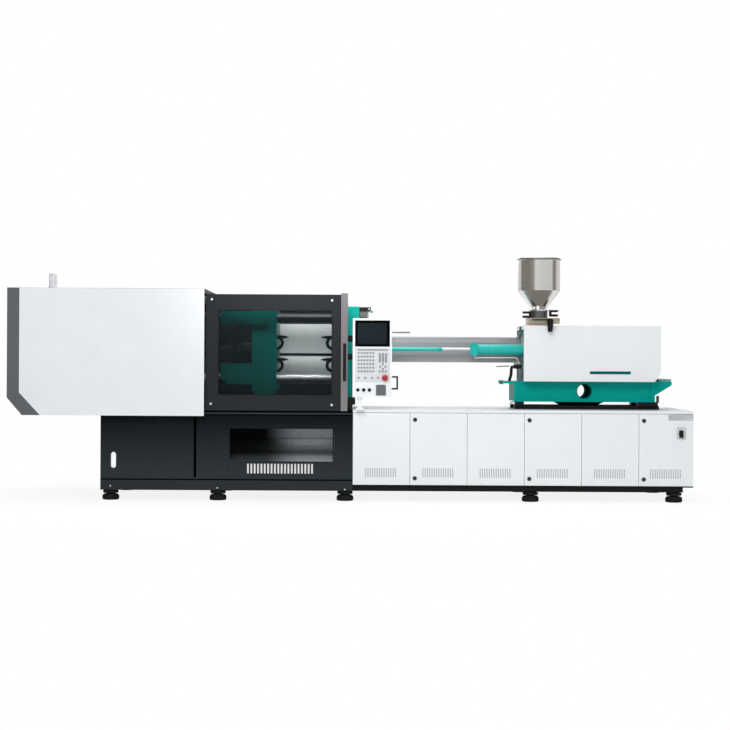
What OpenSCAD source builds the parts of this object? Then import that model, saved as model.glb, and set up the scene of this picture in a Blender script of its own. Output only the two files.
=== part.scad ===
// Horizontal injection moulding machine with a five-point toggle clamp.
// +X runs to the injection end, -Y to the operator, +Z up, floor at z = 0.

/* [Overall] */
// Length over the end cap and the cabinet
machine_l = 7200; // [7100:10:7600]
// Width over the bed panels and the cabinet doors
body_w = 1440; // [1400:10:1520]
// Width over the toggle cover
cover_w = 1600; // [1570:10:1700]
// Height of the clamp and barrel axis
axis_z = 1600; // [1570:5:1640]
// Height of the clamp bed's top
bed_top = 925; // [880:5:940]
// Height of the cabinet's top plate
cab_top = 961; // [900:5:980]
// Height of the underside of both base frames
base_z = 105; // [80:5:130]
// Thickness of the cover and panel sheets
sheet_t = 3; // [2:0.5:4]

/* [Feet] */
// Diameter of a levelling pad
pad_d = 178; // [140:2:200]
// Height of a levelling pad
pad_h = 60; // [40:1:66]
// Diameter of a levelling stud
stud_d = 42; // [30:1:60]

/* [Clamp] */
// Distance between tie bar centres, both ways
tie_pitch = 650; // [620:5:680]
// Diameter of a tie bar
tie_d = 100; // [80:2:110]
// Width and height of a platen
platen_w = 900; // [860:10:960]
// Thickness of the moving and the tail platen
platen_t = 260; // [220:5:290]
// Thickness of the fixed platen
fixed_t = 284; // [260:2:284]
// Mould face of the fixed platen
fixed_x = -200; // [-240:5:-190]
// Distance between the mould faces, clamp open
daylight = 598; // [560:2:640]
// Diameter of the sprue bore in the fixed platen
sprue_d = 160; // [140:5:200]

/* [Toggle] */
// Length of a rear link, pin to pin
rear_link_l = 270; // [260:2:280]
// Length of a front link, pin to pin
front_link_l = 370; // [360:2:390]
// How far a knee folds in from the pin line, clamp open
knee_fold = 255; // [245:1:258]
// Height of the outer link pins over the axis
pin_off = 330; // [325:1:345]
// Diameter of the link pins
pin_d = 70; // [60:1:76]
// Radius of a link eye
eye_r = 55; // [52:1:58]
// Reach of the moving platen's lugs, face to pin
lug_reach = 144; // [130:2:170]
// Reach of the tail platen's lugs, face to pin
tail_reach = 241; // [235:1:280]
// Diameter of the piston rod
rod_d = 90; // [70:2:100]

/* [Guards] */
// Width of the dark end cap
end_cap_w = 128; // [100:2:160]
// Top of the toggle cover
cover_top_z = 2221; // [2200:1:2300]
// Bottom of the toggle cover
cover_bot_z = 887; // [840:1:890]
// Right edge of the front door's dark frame
door_x1 = -107; // [-110:1:-95]
// Length of a door frame
door_l = 1418; // [1360:2:1440]
// Bottom of the doors
door_z0 = 945; // [943:1:960]
// Top of the doors
door_z1 = 2165; // [2155:1:2185]
// Thickness of a door
door_t = 36; // [30:1:40]
// Width of the door's light edge strip
edge_w = 70; // [50:1:75]

/* [Cabinet] */
// Left side of the cabinet
cab_x0 = 21; // [10:1:40]
// Left end of the clamp bed
bed_x0 = -2625; // [-2700:5:-2560]
// Thickness of a cabinet door leaf
leaf_t = 25; // [20:1:30]
// Gap round a door leaf
leaf_gap = 4; // [4:0.5:6]
// Width of the last cabinet door leaf with its gap
last_leaf_w = 574; // [540:1:600]

/* [Injection] */
// Place of the hopper's axis along the machine
hopper_x = 2046; // [2035:1:2055]
// Left end of the carriage beam
beam_x0 = 1752; // [1730:2:1760]
// Right end of the carriage beam
beam_x1 = 3266; // [3230:2:3290]
// Bottom of the carriage beam
beam_z0 = 1042; // [1040:1:1052]
// Top of the carriage beam
beam_z1 = 1262; // [1240:1:1270]
// Right end of the injection cover
inj_cover_x1 = 3307; // [3300:1:3340]
// Top of the injection cover
inj_cover_z1 = 1859; // [1850:1:1900]
// Width of the injection cover
inj_cover_w = 840; // [820:5:880]
// Diameter of the barrel
barrel_d = 150; // [130:2:170]
// Diameter of the screw
screw_d = 60; // [50:1:70]
// Diameter of the hopper's cylinder
hopper_d = 458; // [420:2:480]
// Height of the hopper's rim
hopper_top = 2599; // [2500:1:2650]

/* [Panel] */
// Width of the control panel
panel_w = 409; // [380:1:430]
// Height of the control panel
panel_h = 824; // [780:2:860]
// Bottom of the control panel
panel_z0 = 1092; // [1080:1:1110]
// Thickness of the control panel
panel_t = 90; // [70:1:110]
// Left side of the control panel
panel_x0 = 16; // [10:1:24]
// Distance from the centreline to the panel's front
panel_front = 825; // [815:1:860]

/* [Hidden] */
$fn = 64;
// Radial gap of a running fit
fit_c = 0.05;
// Gap between faces that pass each other
run_c = 0.3;
x_left = -machine_l/2;
x_right = machine_l/2;
leaf_w = (x_right - cab_x0 - last_leaf_w)/5;
half_w = body_w/2;
half_c = cover_w/2;
half_p = platen_w/2;
half_t = tie_pitch/2;
ledge = 20;
plate_t = 20;

// Clamp positions along X, clamp open
fixed_x1 = fixed_x + fixed_t;
move_x1 = fixed_x - daylight;
move_x0 = move_x1 - platen_t;
platen_pin_x = move_x0 - lug_reach;
rear_run = sqrt(pow(rear_link_l, 2) - pow(knee_fold, 2));
front_run = sqrt(pow(front_link_l, 2) - pow(knee_fold, 2));
tail_pin_x = platen_pin_x - front_run - rear_run;
tail_x1 = tail_pin_x - tail_reach;
tail_x0 = tail_x1 - platen_t;
knee_x = tail_pin_x + rear_run;
rear_angle = acos(rear_run/rear_link_l);
platen_z0 = axis_z - half_p;
platen_z1 = axis_z + half_p;

// Layers of the toggle across the machine
core_y = 119;
plate_y0 = core_y + 1;
plate_y1 = plate_y0 + 50;
cross_y0 = plate_y1 + 5;
cross_y1 = cross_y0 + 30;

// Third pin of a rear link and the cross link that reaches it
drive_u = 190;
drive_v = 70;
drive_z = 130;
cross_l = 150;
cross_pin_d = 50;
cross_eye_r = 40;
drive_pin_x = tail_pin_x + drive_u*cos(rear_angle) - drive_v*sin(rear_angle);
drive_pin_z = pin_off - drive_u*sin(rear_angle) - drive_v*cos(rear_angle);
cross_rise = drive_pin_z - drive_z;
cross_x = drive_pin_x - sqrt(pow(cross_l, 2) - pow(cross_rise, 2));
head_x0 = cross_x - 55;
head_x1 = cross_x + 55;

// Guards
cover_x0 = x_left + end_cap_w;
door_x0 = door_x1 - door_l;
cover_gap = 13;
cover_x1 = door_x0 - cover_gap;
door_y = half_w + 10;
door_out = door_y + door_t/2;
door_in = door_y - door_t/2;
rail_h = 40;
rail_w = 30;
rail_z1 = door_z1 - 20;
rail_y1 = door_in - 14;
rail_y0 = rail_y1 - rail_w;
bed_x1 = cab_x0;
sill_z = base_z + 136;
chute_x0 = -1290;
chute_x1 = -170;

// Injection unit
beam_half = 300;
block_x0 = hopper_x - 120;
block_x1 = hopper_x + 120;
block_z1 = inj_cover_z1 - 53;
cyl_y = 210;
nozzle_tip_x = fixed_x + 160;
guard_x0 = fixed_x1 + 92;
drive_x0 = block_x1 + 470;
drive_t = 100;
motor_l = 280;
screw_tail_x = drive_x0 + drive_t - 20;

// Control panel
panel_x1 = panel_x0 + panel_w;
panel_z1 = panel_z0 + panel_h;
panel_back = panel_front - panel_t;
swing_x = panel_x0 + 76;
swing_y = -(panel_front + panel_back)/2;
stop_h = 40;

// The origin lies under the middle of the machine's box
y_shift = (panel_front + stop_h - half_c)/2;

// Shared shapes

// Block between two corners
module block(x, y, z) {
    translate([x[0], y[0], z[0]])
        cube([x[1] - x[0], y[1] - y[0], z[1] - z[0]]);
}

// Cylinder along X
module xcyl(x0, x1, y, z, d) {
    translate([x0, y, z]) rotate([0, 90, 0]) cylinder(d = d, h = x1 - x0);
}

// Cylinder along Y
module ycyl(y0, y1, x, z, d) {
    translate([x, y0, z]) rotate([-90, 0, 0]) cylinder(d = d, h = y1 - y0);
}

// Cylinder along Z
module zcyl(z0, z1, x, y, d) {
    translate([x, y, z0]) cylinder(d = d, h = z1 - z0);
}

// A shape on both sides of the machine's centreline
module both_sides() {
    children();
    mirror([0, 1, 0]) children();
}

// A shape at each tie bar
module at_tie_bars() {
    for (y = [-half_t, half_t], z = [axis_z - half_t, axis_z + half_t])
        translate([0, y, z]) children();
}

// An outline in X and Z, extruded from y0 to y1
module side_plate(y0, y1) {
    translate([0, y1, 0]) rotate([90, 0, 0]) linear_extrude(y1 - y0) children();
}

// Base of the machine

leg_x = [[bed_x0, bed_x0 + 180], [chute_x0 - 210, chute_x0], [chute_x1, bed_x1]];
beam_y = [250, half_w - 80];
sill_y = [half_w - 160, half_w];
beam_h = 120;
outrigger_x = [bed_x0 + 65, cover_x1 - 160];
outrigger_w = 60;

// Welded frame under the clamp, with outriggers that carry the toggle cover
module clamp_bed() color("#2b2d2f") {
    both_sides() {
        block([bed_x0, bed_x1], beam_y, [bed_top - beam_h, bed_top]);
        block([bed_x0, bed_x1], [beam_y[0], half_w + ledge], [bed_top - plate_t, bed_top]);
        block([bed_x0, bed_x1], sill_y, [base_z, sill_z]);
        for (x = leg_x)
            block(x, beam_y, [sill_z, bed_top - beam_h]);
        for (x = outrigger_x)
            block([x, x + outrigger_w], [beam_y[1], half_c - sheet_t], [bed_top - plate_t, bed_top]);
    }
    for (x = leg_x)
        block(x, [-sill_y[0], sill_y[0]], [base_z, sill_z]);
}

panel_seams = [bed_x0, -1635, chute_x0 + 2, chute_x1, bed_x1];
seam_gap = 2;
drop_x = [chute_x0 + 20, chute_x1 - 20];
drop_z = [410, 756];
slot_n = 20;
slot_pitch = 35.4;
slot_w = 20;
slot_z = [284, 388];
slot_x0 = -1088;
hand_x = [-2517, -2464];
hand_z = [336, 504];
hand_r = (hand_x[1] - hand_x[0])/2;
joint_w = 28;
panel_z = [sill_z, bed_top - plate_t];

// Sheets round the clamp bed: a seamed front with the drop opening, a plain back and a plain end
module bed_panels() color("#26282a") {
    difference() {
        for (i = [0:3])
            block([panel_seams[i] + seam_gap/2, panel_seams[i + 1] - seam_gap/2],
                [-half_w, sheet_t - half_w], panel_z);
        block(drop_x, [-half_w - 1, -half_w + 10], drop_z);
        block(hand_x, [-half_w - 1, -half_w + 10], [hand_z[0] + hand_r, hand_z[1] - hand_r]);
        for (z = [hand_z[0] + hand_r, hand_z[1] - hand_r])
            ycyl(-half_w - 1, -half_w + 10, (hand_x[0] + hand_x[1])/2, z, 2*hand_r);
        block([panel_seams[1] - joint_w/2, panel_seams[1] + joint_w/2], [-half_w - 1, -half_w + 10],
            [panel_z[0] - 1, panel_z[1] + 1]);
        for (i = [0:slot_n - 1])
            block([slot_x0 + i*slot_pitch, slot_x0 + i*slot_pitch + slot_w],
                [-half_w - 1, -half_w + 10], slot_z);
    }
    block([bed_x0, bed_x1], [half_w - sheet_t, half_w], panel_z);
    block([bed_x0 - sheet_t, bed_x0], [-half_w, half_w], [base_z, bed_top - plate_t]);
}

tray_drop = 285;
tray_wall = 60;
tray_y = [sheet_t - half_w, sill_y[0]];

// Sloped tray that brings mouldings out to the drop opening
module chute_tray() color("#a9adad") {
    tray_run = tray_y[1] - tray_y[0];
    slope = atan(tray_drop/tray_run);
    intersection() {
        translate([chute_x0, tray_y[0], drop_z[0] + sheet_t])
            rotate([slope, 0, 0])
            difference() {
                cube([chute_x1 - chute_x0, tray_run/cos(slope), tray_wall]);
                translate([sheet_t, -1, sheet_t])
                    cube([chute_x1 - chute_x0 - 2*sheet_t, tray_run/cos(slope) - sheet_t, tray_wall]);
            }
        block([chute_x0, chute_x1], tray_y, [drop_z[0], bed_top - beam_h]);
    }
}

cab_floor = base_z + 63;
floor_t = 10;
top_t = 30;
post_w = 40;
base_end = 106;
leaf_x = [for (i = [0:5]) cab_x0 + i*leaf_w, x_right];
post_y = [half_w - leaf_t - 5 - post_w, half_w - leaf_t - 5];
post_x = [cab_x0, leaf_x[2] - post_w/2, leaf_x[4] - post_w/2, x_right - sheet_t - post_w];

// Frame of the cabinet: base beams, floor, posts and the top plate that carries the carriage
module injection_frame() color("#3a3c3e") difference() {
    union() {
        both_sides() {
            block([cab_x0, x_right - base_end], [half_w - 120, half_w - 20], [base_z, cab_floor - floor_t]);
            for (x = post_x)
                block([x, x + post_w], post_y, [cab_floor, cab_top - top_t]);
        }
        for (x = post_x)
            block([min(x, x_right - base_end - 3*post_w), min(x + 3*post_w, x_right - base_end)],
                [120 - half_w, half_w - 120], [base_z, cab_floor - floor_t]);
        block([cab_x0, x_right], [-half_w, half_w], [cab_floor - floor_t, cab_floor]);
        block([cab_x0, x_right], [-half_w, half_w], [cab_top - top_t, cab_top]);
    }
    for (i = [1:6], z = [cab_floor - leaf_pin_h, cab_top - top_t - leaf_pin_h])
        zcyl(z + leaf_gap - 1, z + 2*leaf_pin_h - leaf_gap + 1, hinge_at(i), pivot_in - half_w,
            leaf_pin_d + 2*fit_c);
}

guide_y = [180, 260];
guide_h = 40;
guide_x = [1760, 3318];

// Two guide rails for the carriage
module base_rails() color("#1d1e20") both_sides() difference() {
    block(guide_x, guide_y, [cab_top, cab_top + guide_h]);
    for (y = [guide_y[0] - 1, guide_y[1] - 11])
        block([guide_x[0] - 1, guide_x[1] + 1], [y, y + 12], [cab_top + 12, cab_top + 26]);
}

foot_x = [bed_x0 + 99, -1396, cab_x0 - 79, 1895, x_right - 193];
foot_y = half_w - 70;

disc_z = [70, base_z - 8];

// Ten levelling feet: pad, waist, locking disc and stud
module leveling_feet() color("#55585a")
    for (x = foot_x, y = [-foot_y, foot_y]) translate([x, y, 0]) {
        rotate_extrude() polygon([[0, 0], [pad_d/2 - 10, 0], [pad_d/2, 10], [pad_d/2, 0.7*pad_h],
            [pad_d/2 - 16, pad_h], [0.8*stud_d, pad_h], [0.8*stud_d, disc_z[0]],
            [pad_d/2 - 14, disc_z[0]], [pad_d/2 - 8, disc_z[0] + 6], [pad_d/2 - 8, disc_z[1]],
            [stud_d/2, disc_z[1]], [stud_d/2, base_z], [0, base_z]]);
    }

tank_x = [1330, 2300];
tank_z = [cab_floor, cab_floor + 330];
motor_x = [1420, 1900];
motor_d = 280;

// Oil tank with the pump and its motor lying on the lid
module hydraulic_unit() color("#5d6468") {
    mz = tank_z[1] + motor_d/2 + 20;
    block(tank_x, [-380, 380], tank_z);
    block([tank_x[0] - 15, tank_x[1] + 15], [-395, 395], [tank_z[1], tank_z[1] + 8]);
    xcyl(motor_x[0], motor_x[1], 0, mz, motor_d);
    xcyl(motor_x[1], motor_x[1] + 110, 0, mz, motor_d*0.6);
    xcyl(motor_x[1] + 110, motor_x[1] + 290, 0, mz, motor_d*0.45);
    for (x = [motor_x[0] + 60, motor_x[1] - 120])
        block([x, x + 60], [-100, 100], [tank_z[1] + 8, mz]);
}

// White back and end sheets of the cabinet
module cabinet_panels() color("#e6e7e4") {
    block([cab_x0, x_right - sheet_t], [half_w - sheet_t, half_w], [cab_floor, cab_top - top_t]);
    block([x_right - sheet_t, x_right], [leaf_t + run_c - half_w, half_w], [cab_floor, cab_top - top_t]);
}

// Toggle cover and door rails

cap_cut = [157, 184];
side_cut = [220, 237];
hem = 25;

// White side sheets with a cut lower corner and hemmed edges
module cover_sides() color("#e9eae7") both_sides() {
    side_plate(half_c - sheet_t, half_c)
        polygon([[cover_x0, cover_bot_z + side_cut[1]], [cover_x0 + side_cut[0], cover_bot_z],
            [cover_x1, cover_bot_z], [cover_x1, cover_top_z - sheet_t], [cover_x0, cover_top_z - sheet_t]]);
    block([cover_x0 + side_cut[0], cover_x1], [half_c - hem, half_c],
        [cover_bot_z, cover_bot_z + sheet_t]);
    block([cover_x1 - sheet_t, cover_x1], [half_c - hem, half_c],
        [cover_bot_z, cover_top_z - sheet_t]);
}

// White top sheet, hemmed down at its open end
module cover_top() color("#e9eae7") {
    block([cover_x0, cover_x1], [-half_c, half_c], [cover_top_z - sheet_t, cover_top_z]);
    block([cover_x1 - sheet_t, cover_x1], [hem - half_c, half_c - hem],
        [cover_top_z - 45, cover_top_z]);
}

// Dark folded cap that closes the clamp end
module cover_end() color("#606264") difference() {
    side_plate(-half_c, half_c)
        polygon([[x_left, cover_bot_z + cap_cut[1]], [x_left + cap_cut[0], cover_bot_z],
            [cover_x0 + side_cut[0], cover_bot_z], [cover_x0, cover_bot_z + side_cut[1]],
            [cover_x0, cover_top_z], [x_left, cover_top_z]]);
    side_plate(sheet_t - half_c, half_c - sheet_t)
        polygon([[x_left + sheet_t, cover_bot_z + cap_cut[1] + sheet_t/2],
            [x_left + cap_cut[0] + sheet_t/2, cover_bot_z + sheet_t],
            [cover_x0 + side_cut[0] + 10, cover_bot_z + sheet_t],
            [cover_x0 + side_cut[0] + 10, cover_top_z - sheet_t], [x_left + sheet_t, cover_top_z - sheet_t]]);
}

door_travel = 1150;
rail_z0 = rail_z1 - rail_h;
guide_bar = [10, 30];
arm_w = 70;

// Upper rails that lie on the platens' arms, and lower guide bars on the bed
module door_rails() color("#8d9193") both_sides() {
    block([door_x0 - door_travel - 15, door_x1 + edge_w], [rail_y0, rail_y1], [rail_z0, rail_z1]);
    block([bed_x0 + 5, bed_x1 - 20], [door_y - guide_bar[0]/2, door_y + guide_bar[0]/2],
        [bed_top, bed_top + guide_bar[1]]);
}

lamp_at = [cover_x0 + 318, 200 - half_c];
lamp_d = 100;
lamp_h = 160;

// Two-tier signal lamp on the toggle cover
module signal_lamp() color("#d9d4d4") translate([lamp_at[0], lamp_at[1], cover_top_z])
    rotate_extrude() polygon([[0, 0], [lamp_d/2, 0], [lamp_d/2, 18], [lamp_d/2 - 6, 24],
        [lamp_d/2 - 6, 78], [lamp_d/2 - 10, 82], [lamp_d/2 - 6, 86], [lamp_d/2 - 6, 140],
        [lamp_d/2 - 14, lamp_h - 6], [0, lamp_h]]);

// Clamp unit

shoe_y = [half_p - 150, half_p];

// Platen block on two feet, bored for the tie bars
module platen_body(x0, x1, tie_gap, foot_gap, foot_in) difference() {
    union() {
        block([x0, x1], [-half_p, half_p], [platen_z0, platen_z1]);
        both_sides()
            block([x0 + 20, x1 - foot_in], shoe_y, [bed_top + foot_gap, platen_z0]);
    }
    at_tie_bars() xcyl(x0 - 1, x1 + 1, 0, 0, tie_d + 2*tie_gap);
}

// Arms on a platen's top that carry the upper door rails
module rail_arms(x) both_sides()
    block([x, x + arm_w], [shoe_y[0], rail_y1], [platen_z1, rail_z0]);

// Lug that carries a link pin, from a platen face to the pin and its eye
module lug(x_face, x_pin, y0, y1, side) {
    z = axis_z + side*pin_off;
    difference() {
        union() {
            block([min(x_face, x_pin), max(x_face, x_pin)], [y0, y1], [z - eye_r, z + eye_r]);
            ycyl(y0, y1, x_pin, z, 2*eye_r);
        }
        ycyl(y0 - 1, y1 + 1, x_pin, z, pin_d + 2*fit_c);
    }
}

guide_rod_y = 80;
guide_rod_d = 36;
guide_rod_in = 118;
guide_rod_out = 400;

// Tail platen with single broad lugs for the rear links
module tail_platen() color("#1f8f86") difference() {
    union() {
        platen_body(tail_x0, tail_x1, fit_c, 0, 20);
        rail_arms(tail_x0 + 100);
        for (s = [-1, 1])
            lug(tail_x1, tail_pin_x, -core_y, core_y, s);
    }
    xcyl(tail_x0 - 1, tail_x1 + 1, 0, axis_z, rod_d + 2*fit_c);
    for (y = [-guide_rod_y, guide_rod_y])
        xcyl(tail_x1 - guide_rod_in - 2, tail_x1 + 1, y, axis_z, guide_rod_d + 2*fit_c);
}

nut_d = 150;
nut_t = 88;

// Four tie bars with their ring nuts
module tie_bars() color("#b9bdbf") at_tie_bars() {
    xcyl(tail_x0 - nut_t - 30, fixed_x1 + nut_t, 0, 0, tie_d);
    for (x = [tail_x0 - nut_t, fixed_x1])
        difference() {
            xcyl(x, x + nut_t, 0, 0, nut_d);
            xcyl(x - 1, x + nut_t + 1, 0, 0, tie_d + 2*fit_c);
        }
}

mould_hole_d = 17.5;
mould_hole_t = 45;
mould_y = 210;
mould_z = 140;

// Tapped holes for the mould in a platen's face
module mould_holes(x) {
    for (y = [-mould_y, mould_y], z = [axis_z - mould_z, axis_z + mould_z]) {
        xcyl(x, x + mould_hole_t, y, z, mould_hole_d);
        xcyl(x, x + mould_hole_t, y/2, axis_z + (z - axis_z)*1.5, mould_hole_d);
    }
}

lift_d = 48;
lift_x = 188;
lift_z = 93;
hinge_d = 20;
hinge_x = guard_x0 + 14;
hinge_z = platen_z1 - 20;
guard_half = 200;
hinge_y = [guard_half + 5, guard_half + 30];
seat_y = 260;

// Fixed platen with the locating bore, the nozzle cone and the ears of the purge guard
module fixed_platen() color("#1f8f86") difference() {
    union() {
        platen_body(fixed_x, fixed_x1, fit_c, 0, fixed_x1 - cab_x0 + 3);
        rail_arms(fixed_x + 20);
        both_sides()
            block([fixed_x1, hinge_x + hinge_d], hinge_y, [platen_z1 - 40, platen_z1]);
    }
    xcyl(fixed_x - 1, fixed_x + 25, 0, axis_z, sprue_d);
    xcyl(fixed_x, fixed_x1 + 1, 0, axis_z, 0.75*sprue_d);
    translate([fixed_x1 - 90, 0, axis_z]) rotate([0, 90, 0])
        cylinder(d1 = 0.75*sprue_d, d2 = 1.75*sprue_d, h = 91);
    mould_holes(fixed_x - 1);
    for (z = [axis_z - lift_z, axis_z + lift_z])
        both_sides() ycyl(half_p - 60, half_p + 1, fixed_x + lift_x, z, lift_d);
    both_sides() ycyl(hinge_y[0] - 1, hinge_y[1] + 1, hinge_x, hinge_z, hinge_d + 2*fit_c);
}

eject_d = 50;
cheek_y = [half_p - 60, half_p - 4];
cheek_l = 340;
cheek_up = [axis_z + 255, axis_z + 395];
cheek_low = [axis_z - 385, axis_z - 165];
boss_d = 104;
pocket_x = [move_x0 - 1, move_x0 + 174];
pocket_z = [axis_z + 186, axis_z + 250];
cheek_gap = 4;

// Cheeks and pin bosses behind the moving platen's flanks, cut free of the tie bars
module platen_cheeks() difference() {
    both_sides() {
        for (s = [-1, 1])
            ycyl(cheek_y[0] + 10, half_p + 8, platen_pin_x, axis_z + s*pin_off, boss_d);
        block([move_x0 - cheek_l, move_x0 + 1], cheek_y, cheek_up);
        side_plate(cheek_y[0], cheek_y[1])
            polygon([[move_x0 - cheek_l, cheek_low[1]], [move_x0 - cheek_l, cheek_low[0] + 70],
                [move_x0 - cheek_l + 90, cheek_low[0]], [move_x0 + 1, cheek_low[0]],
                [move_x0 + 1, cheek_low[1]]]);
    }
    at_tie_bars() xcyl(move_x0 - cheek_l - 1, move_x0 + 2, 0, 0, tie_d + 2*cheek_gap);
}

// Moving platen with paired lugs for the front links, deep side cheeks and a pocket in each flank
module moving_platen() color("#1f8f86") difference() {
    union() {
        platen_body(move_x0, move_x1, 0.5, run_c, 20);
        platen_cheeks();
        for (s = [-1, 1])
            both_sides() lug(move_x0, platen_pin_x, plate_y0, plate_y1, s);
    }
    both_sides() block(pocket_x, [half_p - 60, half_p + 1], pocket_z);
    xcyl(move_x0 - 1, move_x1 + 1, 0, axis_z, eject_d + 2*fit_c);
    mould_holes(move_x1 + 1 - mould_hole_t);
}

eject_l = 180;

// Ejector cylinder behind the moving platen
module ejector_cylinder() color("#3c4043") difference() {
    union() {
        xcyl(move_x0 - 30, move_x0, 0, axis_z, 190);
        xcyl(move_x0 - eject_l, move_x0 - 30, 0, axis_z, 130);
    }
    xcyl(move_x0 - eject_l + 30, move_x0 + 1, 0, axis_z, eject_d + 2*fit_c);
}

// Ejector rod, retracted flush with the mould face
module ejector_rod() color("#c3c7c9")
    xcyl(move_x0 - eject_l + 32, move_x1 - 1, 0, axis_z, eject_d);

piston_d = 200;
clamp_cyl_l = 560;
clamp_flange = 210;
cyl_x0 = tail_x0 - clamp_cyl_l;
piston_x = cyl_x0 + 60;

// Clamp cylinder on the tail platen, with the two guide rods of the crosshead
module clamp_cylinder() color("#6d7275") {
    difference() {
        union() {
            block([tail_x0 - 50, tail_x0], [-clamp_flange, clamp_flange],
                [axis_z - clamp_flange, axis_z + clamp_flange]);
            xcyl(cyl_x0, tail_x0 - 50, 0, axis_z, piston_d + 60);
            xcyl(cyl_x0, cyl_x0 + 40, 0, axis_z, piston_d + 110);
        }
        xcyl(cyl_x0 + 40, tail_x0 - 70, 0, axis_z, piston_d + 2*fit_c);
        xcyl(cyl_x0 + 40, tail_x0 + 1, 0, axis_z, rod_d + 2*fit_c);
    }
    for (y = [-guide_rod_y, guide_rod_y])
        xcyl(tail_x1 - guide_rod_in, cross_x + guide_rod_out, y, axis_z, guide_rod_d);
}

head_half = 115;

// Crosshead with its pins, piston rod and piston
module crosshead() color("#4a4f52") {
    difference() {
        block([head_x0, head_x1], [-head_half, head_half],
            [axis_z - drive_z - cross_eye_r, axis_z + drive_z + cross_eye_r]);
        for (y = [-guide_rod_y, guide_rod_y])
            xcyl(head_x0 - 1, head_x1 + 1, y, axis_z, guide_rod_d + 2*fit_c);
    }
    for (s = [-1, 1])
        ycyl(-cross_y1, cross_y1, cross_x, axis_z + s*drive_z, cross_pin_d);
    xcyl(piston_x, cross_x, 0, axis_z, rod_d);
    xcyl(piston_x, piston_x + 50, 0, axis_z, piston_d);
}

pin_proud = 3;
press_l = 20;

// Flat bar between two eyes, drawn in the X-Z plane
module bar_outline(a, b, r) {
    for (p = [a, b]) translate(p) circle(r);
    translate(a) rotate(atan2(b[1] - a[1], b[0] - a[0]))
        translate([0, -0.8*r]) square([norm(b - a), 1.6*r]);
}

// Plate from y0 to y1 with an outline drawn in the X-Z plane
module plate(y0, y1) {
    translate([0, y1, 0]) rotate([90, 0, 0]) linear_extrude(y1 - y0) children();
}

// Rear link: two plates on the tail pin, with the knee pin and the drive pin pressed in
module rear_link(s) {
    tail_pin = [tail_pin_x, axis_z + s*pin_off];
    knee = [knee_x, axis_z + s*(pin_off - knee_fold)];
    drive = [drive_pin_x, axis_z + s*drive_pin_z];
    both_sides() {
        plate(plate_y0, plate_y1) {
            bar_outline(tail_pin, knee, eye_r);
            bar_outline(knee, drive, cross_eye_r);
            bar_outline(tail_pin, drive, cross_eye_r);
        }
        ycyl(plate_y1 - press_l, plate_y1 + pin_proud, knee[0], knee[1], pin_d);
        ycyl(plate_y1 - press_l, plate_y1 + pin_proud, drive[0], drive[1], cross_pin_d);
    }
    ycyl(-plate_y1 - pin_proud, plate_y1 + pin_proud, tail_pin[0], tail_pin[1], pin_d);
}

// Front link: one broad bar between the knee and the moving platen, on its own pin
module front_link(s) {
    knee = [knee_x, axis_z + s*(pin_off - knee_fold)];
    platen_pin = [platen_pin_x, axis_z + s*pin_off];
    plate(-core_y, core_y) bar_outline(knee, platen_pin, eye_r);
    ycyl(-plate_y1 - pin_proud, plate_y1 + pin_proud, platen_pin[0], platen_pin[1], pin_d);
}

// Cross link: two plates from the crosshead pin to the rear link's drive pin
module cross_link(s) {
    head = [cross_x, axis_z + s*drive_z];
    drive = [drive_pin_x, axis_z + s*drive_pin_z];
    both_sides() difference() {
        plate(cross_y0, cross_y1) bar_outline(head, drive, cross_eye_r);
        ycyl(cross_y0 - 1, cross_y1 + 1, head[0], head[1], cross_pin_d + 2*fit_c);
    }
}

module rear_link_upper() color("#565b5e") rear_link(1);
module rear_link_lower() color("#565b5e") rear_link(-1);
module front_link_upper() color("#4e5356") front_link(1);
module front_link_lower() color("#4e5356") front_link(-1);
module cross_link_upper() color("#63686b") cross_link(1);
module cross_link_lower() color("#63686b") cross_link(-1);

// Sliding doors

view_x = [door_x0 + 135, door_x1 - 98];
view_z = [1113, 1995];
rebate = 15;
pane_t = 8;
hook_l = 80;

// Two hooks that hang a door on its upper rail
module door_hooks() {
    for (x = [door_x0 + 150, door_x1 - 150 - hook_l])
        block([x, x + hook_l], [rail_y0, door_in], [rail_z1 + run_c, door_z1 - 4]);
}

// Groove under a door for the lower guide bar
module guide_groove() {
    block([door_x0 - 1, door_x1 + edge_w + 1], [door_y - guide_bar[0]/2 - 1, door_y + guide_bar[0]/2 + 1],
        [door_z0 - 1, bed_top + guide_bar[1] + 5]);
}

// Dark frame of the front safety door, with a rebated window opening
module door_frame() color("#313636") mirror([0, 1, 0]) {
    difference() {
        block([door_x0, door_x1], [door_in, door_out], [door_z0, door_z1]);
        block(view_x, [door_in - 1, door_out + 1], view_z);
        block([view_x[0] - rebate, view_x[1] + rebate], [door_in - 1, door_in + pane_t],
            [view_z[0] - rebate, view_z[1] + rebate]);
        guide_groove();
    }
    door_hooks();
}

// Clear pane in the rebate
module door_window() color("#9fb0b4", 0.35) mirror([0, 1, 0])
    block([view_x[0] - rebate, view_x[1] + rebate], [door_in, door_in + pane_t],
        [view_z[0] - rebate, view_z[1] + rebate]);

edge_proud = 4;

// Light closing strip along the door's right edge, a channel with a flat face
module door_edge() color("#928d8f") mirror([0, 1, 0]) difference() {
    block([door_x1, door_x1 + edge_w], [door_in, door_out + edge_proud], [door_z0, door_z1 + 15]);
    block([door_x1 + sheet_t, door_x1 + edge_w - sheet_t], [door_in - 1, door_out - 8],
        [door_z0 - 1, door_z1 + 16]);
    guide_groove();
}

grip_z = [1260, 1654];
grip_d = 30;
grip_out = 45;

// Bow handle: a round bar between two turned standoffs
module bow(x, y, z, out, d) {
    for (h = z) ycyl(y, y + out, x, h, d);
    zcyl(z[0] - d/2, z[1] + d/2, x, y + out, d);
}

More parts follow.
